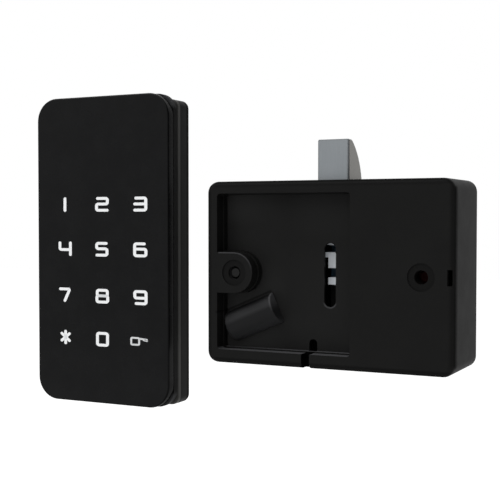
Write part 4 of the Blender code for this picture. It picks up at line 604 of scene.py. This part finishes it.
# %% Solder mask
mask_green = Finish("solder_mask", {"Specular IOR Level": 0.5})
flat = mask_green.add("CombineXYZ", inputs={"X": mask_green.axis("X"), "Y": mask_green.axis("Z")})
net = {"Mortar Size": 0.12 * MM, "Brick Width": 3.1 * MM, "Row Height": 1.1 * MM}
track = mask_green.add("TexBrick", inputs={"Vector": flat, "Scale": 1, **net}, out="Fac")
weave = mask_green.noise(0.4 * MM)
laminate = mask_green.mix(weave, (0.006, 0.045, 0.022), (0.010, 0.065, 0.032))
mask_green.feed("Base Color", mask_green.mix(track, laminate, (0.030, 0.140, 0.070)))
mask_green.feed("Roughness", 0.30 + 0.12 * weave)
mask_green.bump(track, 0.03 * MM)
# The strip along the lock board's outer edge, which shows through the catch slot, is painted black: painted
# shade.
board_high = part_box("control_board")[1]
mask_green.darken(mask_green.axis("X").over(board_high.x - 1.2 * MM, 0.1 * MM))
print("solder mask, with a dark strip along the lock board's outer edge")

# %% [markdown]
# ## Light film
# Behind the printed panel lies a milky film that spreads the light of a few small lamps. Printed dots
# scatter the light out of it, and they are what tells it from a plain white sheet.

# %% Milky film
film = Finish("milky_film", {"Specular IOR Level": 0.4})
dots = 1 - film.pits(1.2 * MM).over(0.32, 0.06)
film.feed("Base Color", film.mix(dots, (0.62, 0.64, 0.66), (0.82, 0.84, 0.86)))
film.feed("Roughness", 0.38 + 0.15 * dots)
print("milky film")

# %% [markdown]
# ## Cells
# Each cell has a plastic sleeve over a steel can. The sleeve leaves the ends bare, and a copper-coloured
# band marks the end with the nub. Height along the cell decides which is which, counted from the nub's
# end, so that one function serves the cells that stand either way up.

# %% Cell sleeves
SLEEVE_START = 1.6 * MM
SLEEVE_END = 43.9 * MM
BAND_END = 11 * MM


def cell_sleeve(name, nub_up):
    """The finish of one cell, whose nub points up or down."""
    low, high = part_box(name)
    finish = Finish(name + "_sleeve", {"Specular IOR Level": 0.5})
    rise = finish.axis("Z")
    from_nub = high.z - rise if nub_up else rise - low.z
    wear = finish.noise(4 * MM, detail=3)
    bare = 1 - from_nub.over(SLEEVE_START, 0.1 * MM) * (1 - from_nub.over(SLEEVE_END, 0.1 * MM))
    banded = 1 - from_nub.over(BAND_END, 0.2 * MM)
    sleeve = finish.mix(banded, (0.018, 0.022, 0.030), (0.50, 0.24, 0.09))
    finish.feed("Base Color", finish.mix(bare, sleeve, (0.50, 0.50, 0.49)))
    finish.feed("Metallic", bare)
    finish.feed("Roughness", 0.24 + 0.12 * wear)
    return finish.material


sleeves = {f"cell_{number}": cell_sleeve(f"cell_{number}", number % 2 == 1) for number in range(1, 5)}
print(len(sleeves), "cell sleeves")

# %% [markdown]
# ## Handing out the finishes
# Each solid gets the finish of its real piece. The list goes by name, and what isn't named is steel: pins,
# axle, spring, contacts, motor can and screws.

# %% Finishes on the solids
finish_of = {
    "touch_panel": acrylic.material,
    "light_guide": film.material,
    "touch_board": mask_green.material,
    "control_board": mask_green.material,
    "front_frame": keypad_frame.material,
    "rear_case": keypad_case.material,
    "buzzer": inner_black,
    "bolt_sensor": inner_black,
    "battery_tray": inner_black,
    "lock_base": housing.material,
    "rear_cover": housing.material,
    "latch_bolt": bolt.material,
    "bolt_carriage": carriage.material,
    "crown_wheel": gear_acetal,
    "motor_pinion": turned_brass,
    "upper_insert": turned_brass,
    "lower_insert": turned_brass,
    "carriage_magnet": bright_nickel,
    "keypad_socket": cream_nylon,
    "lock_socket": cream_nylon,
    **sleeves,
}
for name, node in nodes.items():
    node.data.materials.clear()
    node.data.materials.append(finish_of.get(name, plain_steel))
print(len(finish_of), "named finishes,", len(nodes) - len(finish_of), "solids in plain steel")

# %% [markdown]
# ## Soft edges
# A moulded edge is never quite sharp. The tool leaves a radius of a tenth of a millimetre or two, and that
# thin rounding catches the light along every rim. The solids have sharp edges, so each piece that shows
# gets a stand-in: a copy of its mesh, with its loose triangles merged and its flat faces joined, and a
# narrow Bevel on each edge that turns by more than 35 degrees. The cast bolt is rounder, so it gets the
# widest one.


def soft_edged(name, width):
    """Replaces a node by a copy of it whose sharp edges are rounded by this width."""
    node = nodes[name]
    shape = bmesh.new()
    shape.from_mesh(node.data)
    bmesh.ops.remove_doubles(shape, verts=shape.verts, dist=0.001 * MM)
    bmesh.ops.dissolve_limit(
        shape, angle_limit=math.radians(0.5), verts=shape.verts, edges=shape.edges, delimit=set()
    )
    piece = finished(name + "_soft", shape, node.data.materials[0])
    piece.data.shade_smooth()
    rounding = piece.modifiers.new("soft_edge", "BEVEL")
    rounding.width = width
    rounding.segments = 2
    rounding.limit_method = "ANGLE"
    rounding.angle_limit = math.radians(35)
    rounding.use_clamp_overlap = True
    flatten = piece.modifiers.new("flat_faces", "WEIGHTED_NORMAL")
    flatten.weight = 90
    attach(piece, node["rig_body"])
    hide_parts(name)
    return piece


EDGES = {
    "lock_base": 0.14 * MM,
    "rear_cover": 0.15 * MM,
    "rear_case": 0.15 * MM,
    "front_frame": 0.15 * MM,
    "touch_panel": 0.15 * MM,
    "latch_bolt": 0.80 * MM,
    "battery_tray": 0.12 * MM,
}
soft = {name: soft_edged(name, width) for name, width in EDGES.items()}
print(len(soft), "stand-ins with soft edges")

# %% [markdown]
# ## Screws
# Small pan-head screws close the case, the boards and the battery tray. On the solids they are plain
# heads; the real ones have a cross recess. The outline is spun round the screw's axis and ends in an open
# circle. A plus-shaped loop with as many corners is bridged to that circle, and its face is sunk and
# drawn in, as the punch leaves it.

# %% Sunk cross
CORNERS_OF_PLUS = 24
CROSS_REACH = 0.56
CROSS_ARM = 0.15
CROSS_DEPTH = 0.7


def plus_corners(reach, arm):
    """The corners of a plus shape, counted round from the first arm's tip."""
    half = (reach + arm) / 2
    quarter = [(reach, 0), (reach, arm), (half, arm), (arm, arm), (arm, half), (arm, reach)]
    turns = [Matrix.Rotation(turn * math.tau / 4, 2) for turn in range(4)]
    return [turn @ Vector(corner) for turn in turns for corner in quarter]


def add_cross(shape, radius, height):
    """Closes the open top circle of a head with a sunk cross."""
    circle = [edge for edge in shape.edges if edge.is_boundary]
    plus = plus_corners(CROSS_REACH * radius, CROSS_ARM * radius)
    corners = [shape.verts.new((x, height, z)) for x, z in plus]
    outline = [shape.edges.new(pair) for pair in zip(corners, corners[1:] + corners[:1])]
    bmesh.ops.bridge_loops(shape, edges=circle + outline)
    mouth = shape.faces.new(corners)
    made = bmesh.ops.extrude_face_region(shape, geom=[mouth])["geom"]
    sunk = [item for item in made if isinstance(item, bmesh.types.BMVert)]
    bmesh.ops.scale(shape, verts=sunk, vec=(0.6, 1, 0.6))
    bmesh.ops.translate(shape, verts=sunk, vec=(0, -CROSS_DEPTH * height, 0))


print("a cross with", len(plus_corners(1, 0.5)), "corners can be sunk into a head")


# %% Screws with a cross
def cross_screw(name, seat, head, shaft, look):
    """A screw whose head lies on its seat and points along +Y. Head and shaft are (radius, length)."""
    radius, height = head
    thin, reach = shaft
    outline = [(0, -reach), (0.8 * thin, -reach), (thin, -reach + 0.3 * thin), (thin, 0), (radius, 0)]
    outline += [(radius, 0.45 * height), (0.92 * radius, 0.80 * height), (0.74 * radius, height)]
    shape = bmesh.new()
    verts = [shape.verts.new((out, along, 0)) for out, along in outline]
    edges = [shape.edges.new(pair) for pair in zip(verts, verts[1:])]
    turn = {"cent": (0, 0, 0), "axis": (0, 1, 0), "angle": math.tau, "steps": CORNERS_OF_PLUS}
    bmesh.ops.spin(shape, geom=verts + edges, use_merge=True, **turn)
    bmesh.ops.remove_doubles(shape, verts=shape.verts, dist=0.001 * MM)
    add_cross(shape, radius, height)
    bmesh.ops.recalc_face_normals(shape, faces=shape.faces)
    shape.transform(Matrix.Translation(seat))
    screw = finished(name, shape, look)
    screw.data.shade_smooth()
    screw.data.set_sharp_from_angle(angle=math.radians(35))
    return screw


print("cross screws can be made")

# %% Case, board and tray screws
SCREW_SHAFTS = {"case_screw": 1.0 * MM, "board_screw": 0.8 * MM, "tray_screw": 0.8 * MM}
HEAD_HEIGHT = 1.2 * MM
for kind, thin in SCREW_SHAFTS.items():
    for number in range(1, 5):
        replaced = f"{kind}_{number}"
        low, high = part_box(replaced)
        radius = (high.x - low.x) / 2
        seat = ((low.x + high.x) / 2, high.y - HEAD_HEIGHT, (low.z + high.z) / 2)
        shaft = (thin, high.y - HEAD_HEIGHT - low.y)
        screw = cross_screw(replaced + "_cross", seat, (radius, HEAD_HEIGHT), shaft, plain_steel)
        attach(screw, nodes[replaced]["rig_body"])
        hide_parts(replaced)
print("12 screws with a cross")

# %% [markdown]
# ## Fixing screws
# Two larger screws wait in the lock's bores, to hold it to the door. Through the holes in front only their
# blackened ends show. The right one is shorter and carries a dab of red thread-locking paint. Both are
# read from the picture, and how deep they sit is a guess.

# %% Two fixing screws
painted = Finish("locking_paint", {"Specular IOR Level": 0.03, "Roughness": 0.6})
paint_grain = painted.noise(0.5 * MM)
painted.feed("Base Color", painted.mix(paint_grain, (0.013, 0.0020, 0.0020), (0.022, 0.0035, 0.0032)))
painted.bump(paint_grain, 0.02 * MM)
FIXING = {
    "left_fixing_screw": (-HOLE_ASIDE, 4.7 * MM, black_steel),
    "right_fixing_screw": (HOLE_ASIDE, 1.1 * MM, painted.material),
}
SEAT_DEPTH = 6.05 * MM
for name, (from_middle, reach, look) in FIXING.items():
    seat = (lock_middle.x + from_middle, lock_low.y + SEAT_DEPTH, lock_middle.z)
    screw = cross_screw(name, seat, (3.9 * MM, 2.2 * MM), (1.95 * MM, reach), look)
    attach(screw, "units")
print("fixing screws:", ", ".join(FIXING))

# %% [markdown]
# ## The return spring
# A coil of steel wire pushes the bolt out again. It stands between the housing's rim and a lug on the
# carriage, so its turns close up as the bolt goes in. A rigid solid can't do that. A copy of the solid
# stands in for it, with a mesh of its own, and the share of its length left when the bolt has gone all the
# way in is worked out.

# %% Spring's stand-in
low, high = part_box("return_spring")
turns = bmesh.new()
turns.from_mesh(nodes["return_spring"].data)
bmesh.ops.remove_doubles(turns, verts=turns.verts, dist=0.001 * MM)
spring = finished("return_spring_live", turns, plain_steel)
spring.data.shade_smooth()
spring.data.set_sharp_from_angle(angle=math.radians(60))
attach(spring, "units")
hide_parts("return_spring")
travel = next(joint["range_m"][1] for joint in frame["joints"] if joint["name"] == "bolt_slide")
closed_share = 1 - travel / (high.z - low.z)
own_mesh(spring)
print("spring closes to", round(closed_share, 2), "of its length")

# %% [markdown]
# ## Teal film
# Between the carriage and the battery tray lies a strip of dark teal film. It gives the dark teal tint
# that shows between the carriage's white bars. A small sheet with bevelled corners is enough for it, and
# its thickness comes from an extrusion.

# %% Film behind the carriage
FACING = Matrix.Rotation(math.radians(90), 4, "X")


def thin_plate(name, low, high, corner, look):
    """A sheet between two corners, with rounded corners, whose thickness runs along Y."""
    shape = bmesh.new()
    bmesh.ops.create_grid(shape, x_segments=1, y_segments=1, size=0.5)
    size = Vector(high) - Vector(low)
    stretch = Matrix.Diagonal((size.x, size.z, 1, 1))
    shape.transform(Matrix.Translation((Vector(low) + Vector(high)) / 2) @ FACING @ stretch)
    bmesh.ops.translate(shape, verts=shape.verts, vec=(0, -size.y / 2, 0))
    bmesh.ops.bevel(
        shape, geom=shape.verts[:], offset=corner, segments=4, profile=0.5, affect="VERTICES", material=-1
    )
    made = bmesh.ops.extrude_face_region(shape, geom=shape.faces[:])["geom"]
    moved = [item for item in made if isinstance(item, bmesh.types.BMVert)]
    bmesh.ops.translate(shape, verts=moved, vec=(0, size.y, 0))
    bmesh.ops.recalc_face_normals(shape, faces=shape.faces)
    return finished(name, shape, look)


film_low = (86.9 * MM, -0.78 * MM, -11.3 * MM)
film_high = (93.5 * MM, -0.62 * MM, 3.0 * MM)
strip = thin_plate("teal_strip", film_low, film_high, 0.6 * MM, teal_film)
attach(strip, "units")
print("teal strip:", len(strip.data.polygons), "faces")

# %% [markdown]
# ## Key legends
# The twelve keys are white windows in the black print, with light behind them. Each sign is drawn as a pen
# would draw it: paths of straight strokes with rounded corners and round ends. A path is extruded to a
# ribbon on its edge, bevel rounds the ribbon's corners and Solidify gives it the pen's width. Small discs
# close the free ends. The drawing is then widened a little, because its upright strokes are the wider
# ones. The digits glow through their windows, and the key symbol, drawn with a thinner pen, hardly does.

# %% Signs as pen paths
KEY_COLUMNS = (-16.5 * MM, 0.5 * MM, 17.4 * MM)
KEY_ROWS = (17.3 * MM, 0.4 * MM, -17.3 * MM, -33.6 * MM)
WIDEN = 1.22
HALF_WIDTH = 2.45 * MM / WIDEN
HALF_HEIGHT = 2.22 * MM
PEN = 1.06 * MM
THIN_PEN = 0.68 * MM
ring = "closed path"
SIGNS = {
    "1": [[(0, -1), (0, 1)]],
    "2": [[(-0.8, 1), (1, 1), (1, 0.05), (-1, 0.05), (-1, -1), (0.95, -1)]],
    "3": [[(-0.75, 1), (1, 1), (1, -1), (-0.95, -1)], [(-0.95, 0.02), (0.9, 0.02)]],
    "4": [[(-1, 1), (-1, -0.15), (0.9, -0.15)], [(1, 1), (1, -1)]],
    "5": [[(0.75, 1), (-1, 1), (-1, 0.08), (0.9, 0.08), (0.9, -1), (-0.95, -1)]],
    "6": [[(0.7, 1), (-1, 1), (-1, -1), (1, -1), (1, 0.12), (-1, 0.12)]],
    "7": [[(-0.95, 1), (0.85, 1), (-0.1, -1)]],
    "8": [
        [(-0.93, 1), (0.93, 1), (0.93, 0.05), (-0.93, 0.05), ring],
        [(-1, 0.05), (1, 0.05), (1, -1), (-1, -1), ring],
    ],
    "9": [[(-0.75, -1), (1, -1), (1, 1), (-1, 1), (-1, -0.08), (1, -0.08)]],
    "*": [[(0, 1), (0, -1)], [(-0.72, 0.62), (0.72, -0.58)], [(-0.72, -0.58), (0.72, 0.62)]],
    "0": [[(-0.93, 1), (0.93, 1), (0.93, -1), (-0.93, -1), ring]],
    "key": [
        [(-1.66, 0.57), (-0.25, 0.57), (-0.25, -0.57), (-1.66, -0.57), ring],
        [(-0.25, 0.46), (1.12, 0.36)],
        [(0.55, 0.28), (1.12, 0.17)],
    ],
}
KEYS = (("1", "2", "3"), ("4", "5", "6"), ("7", "8", "9"), ("*", "0", "key"))
print(sum(len(row) for row in KEYS), "keys")

# %% Ribbons
FILM_FRONT = cad_low.y - 0.02 * MM
FILM_BACK = cad_low.y + 0.05 * MM


def add_ribbon(shape, path, at, pen):
    """A pen path as a ribbon on its edge, with rounded corners. Returns its two free ends, if any."""
    closed = path[-1] is ring
    points = path[: len(path) - closed]
    corners = [(at[0] / WIDEN + x * HALF_WIDTH, at[1] + z * HALF_HEIGHT) for x, z in points]
    verts = [shape.verts.new((x, FILM_FRONT, z)) for x, z in corners]
    following = verts[1:] + verts[:1] if closed else verts[1:]
    edges = [shape.edges.new(pair) for pair in zip(verts, following)]
    made = bmesh.ops.extrude_edge_only(shape, edges=edges)["geom"]
    moved = {item for item in made if isinstance(item, bmesh.types.BMVert)}
    bmesh.ops.translate(shape, verts=list(moved), vec=(0, FILM_BACK - FILM_FRONT, 0))
    turning = verts if closed else verts[1:-1]
    upright = [edge for vert in turning for edge in vert.link_edges if edge.other_vert(vert) in moved]
    bmesh.ops.bevel(
        shape, geom=upright, offset=0.62 * pen, segments=4, profile=0.5, affect="EDGES", material=-1
    )
    return [] if closed else [corners[0], corners[-1]]


def thickened(ribbons, pen):
    """The ribbons of a mesh as a new mesh, with the pen's width."""
    drawn = bpy.data.objects.new("ribbons", ribbons)
    bpy.context.scene.collection.objects.link(drawn)
    widen = drawn.modifiers.new("pen", "SOLIDIFY")
    widen.thickness = pen
    widen.offset = 0
    widen.use_even_offset = True
    bpy.context.view_layer.update()
    thick = bpy.data.meshes.new_from_object(drawn.evaluated_get(bpy.context.evaluated_depsgraph_get()))
    bpy.data.objects.remove(drawn)
    return thick


print("ribbons can be drawn and thickened")


# %% Round ends
def add_end(shape, place, pen):
    """A disc as thick as the film, a hair in front of it, which rounds off a free end."""
    x, z = place
    matrix = Matrix.Translation((x, FILM_FRONT - 0.002 * MM, z)) @ FACING
    disc = bmesh.new()
    bmesh.ops.create_circle(disc, cap_ends=True, segments=20, radius=pen / 2)
    made = bmesh.ops.extrude_face_region(disc, geom=disc.faces[:])["geom"]
    lifted = [item for item in made if isinstance(item, bmesh.types.BMVert)]
    bmesh.ops.translate(disc, verts=lifted, vec=(0, 0, FILM_FRONT - FILM_BACK))
    disc.transform(matrix)
    bmesh.ops.recalc_face_normals(disc, faces=disc.faces)
    scratch = bpy.data.meshes.new("scratch")
    disc.to_mesh(scratch)
    disc.free()
    shape.from_mesh(scratch)
    bpy.data.meshes.remove(scratch)


print("ends can be rounded off")


# %% Signs into pieces
def sign_piece(name, signs, pen, look):
    """All these signs as one piece on the panel's front."""
    shape = bmesh.new()
    ends = []
    for row, z in zip(KEYS, KEY_ROWS):
        for sign, x in zip(row, KEY_COLUMNS):
            if sign in signs:
                for path in SIGNS[sign]:
                    ends += add_ribbon(shape, path, (x, z), pen)
    ribbons = bpy.data.meshes.new(name + "_ribbons")
    shape.to_mesh(ribbons)
    shape.free()
    shape = bmesh.new()
    shape.from_mesh(thickened(ribbons, pen))
    bmesh.ops.recalc_face_normals(shape, faces=shape.faces)
    for place in ends:
        add_end(shape, place, pen)
    shape.transform(Matrix.Diagonal((WIDEN, 1, 1, 1)))
    piece = finished(name, shape, look)
    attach(piece, "units")
    return piece


print("signs can be made into pieces")


# %% Lit windows
def lit_window(name, share):
    """White print with light behind it, of which this share comes through."""
    lit = Finish(name, {"Roughness": 0.4, "Emission Strength": share})
    glow = lit.noise(3 * MM)
    lit.feed("Base Color", lit.mix(glow, (0.60, 0.61, 0.62), (0.68, 0.69, 0.70)))
    lit.feed("Emission Color", lit.mix(glow, (0.90, 0.91, 0.92), (1, 1, 1)))
    return lit.material


plain_signs = [sign for row in KEYS for sign in row if sign != "key"]
legends = sign_piece("key_legends", plain_signs, PEN, lit_window("lit_window", 0.26))
key_sign = sign_piece("key_symbol", ["key"], THIN_PEN, lit_window("dim_window", 0.03))
print("legends:", len(legends.data.polygons), "faces, key symbol:", len(key_sign.data.polygons), "faces")
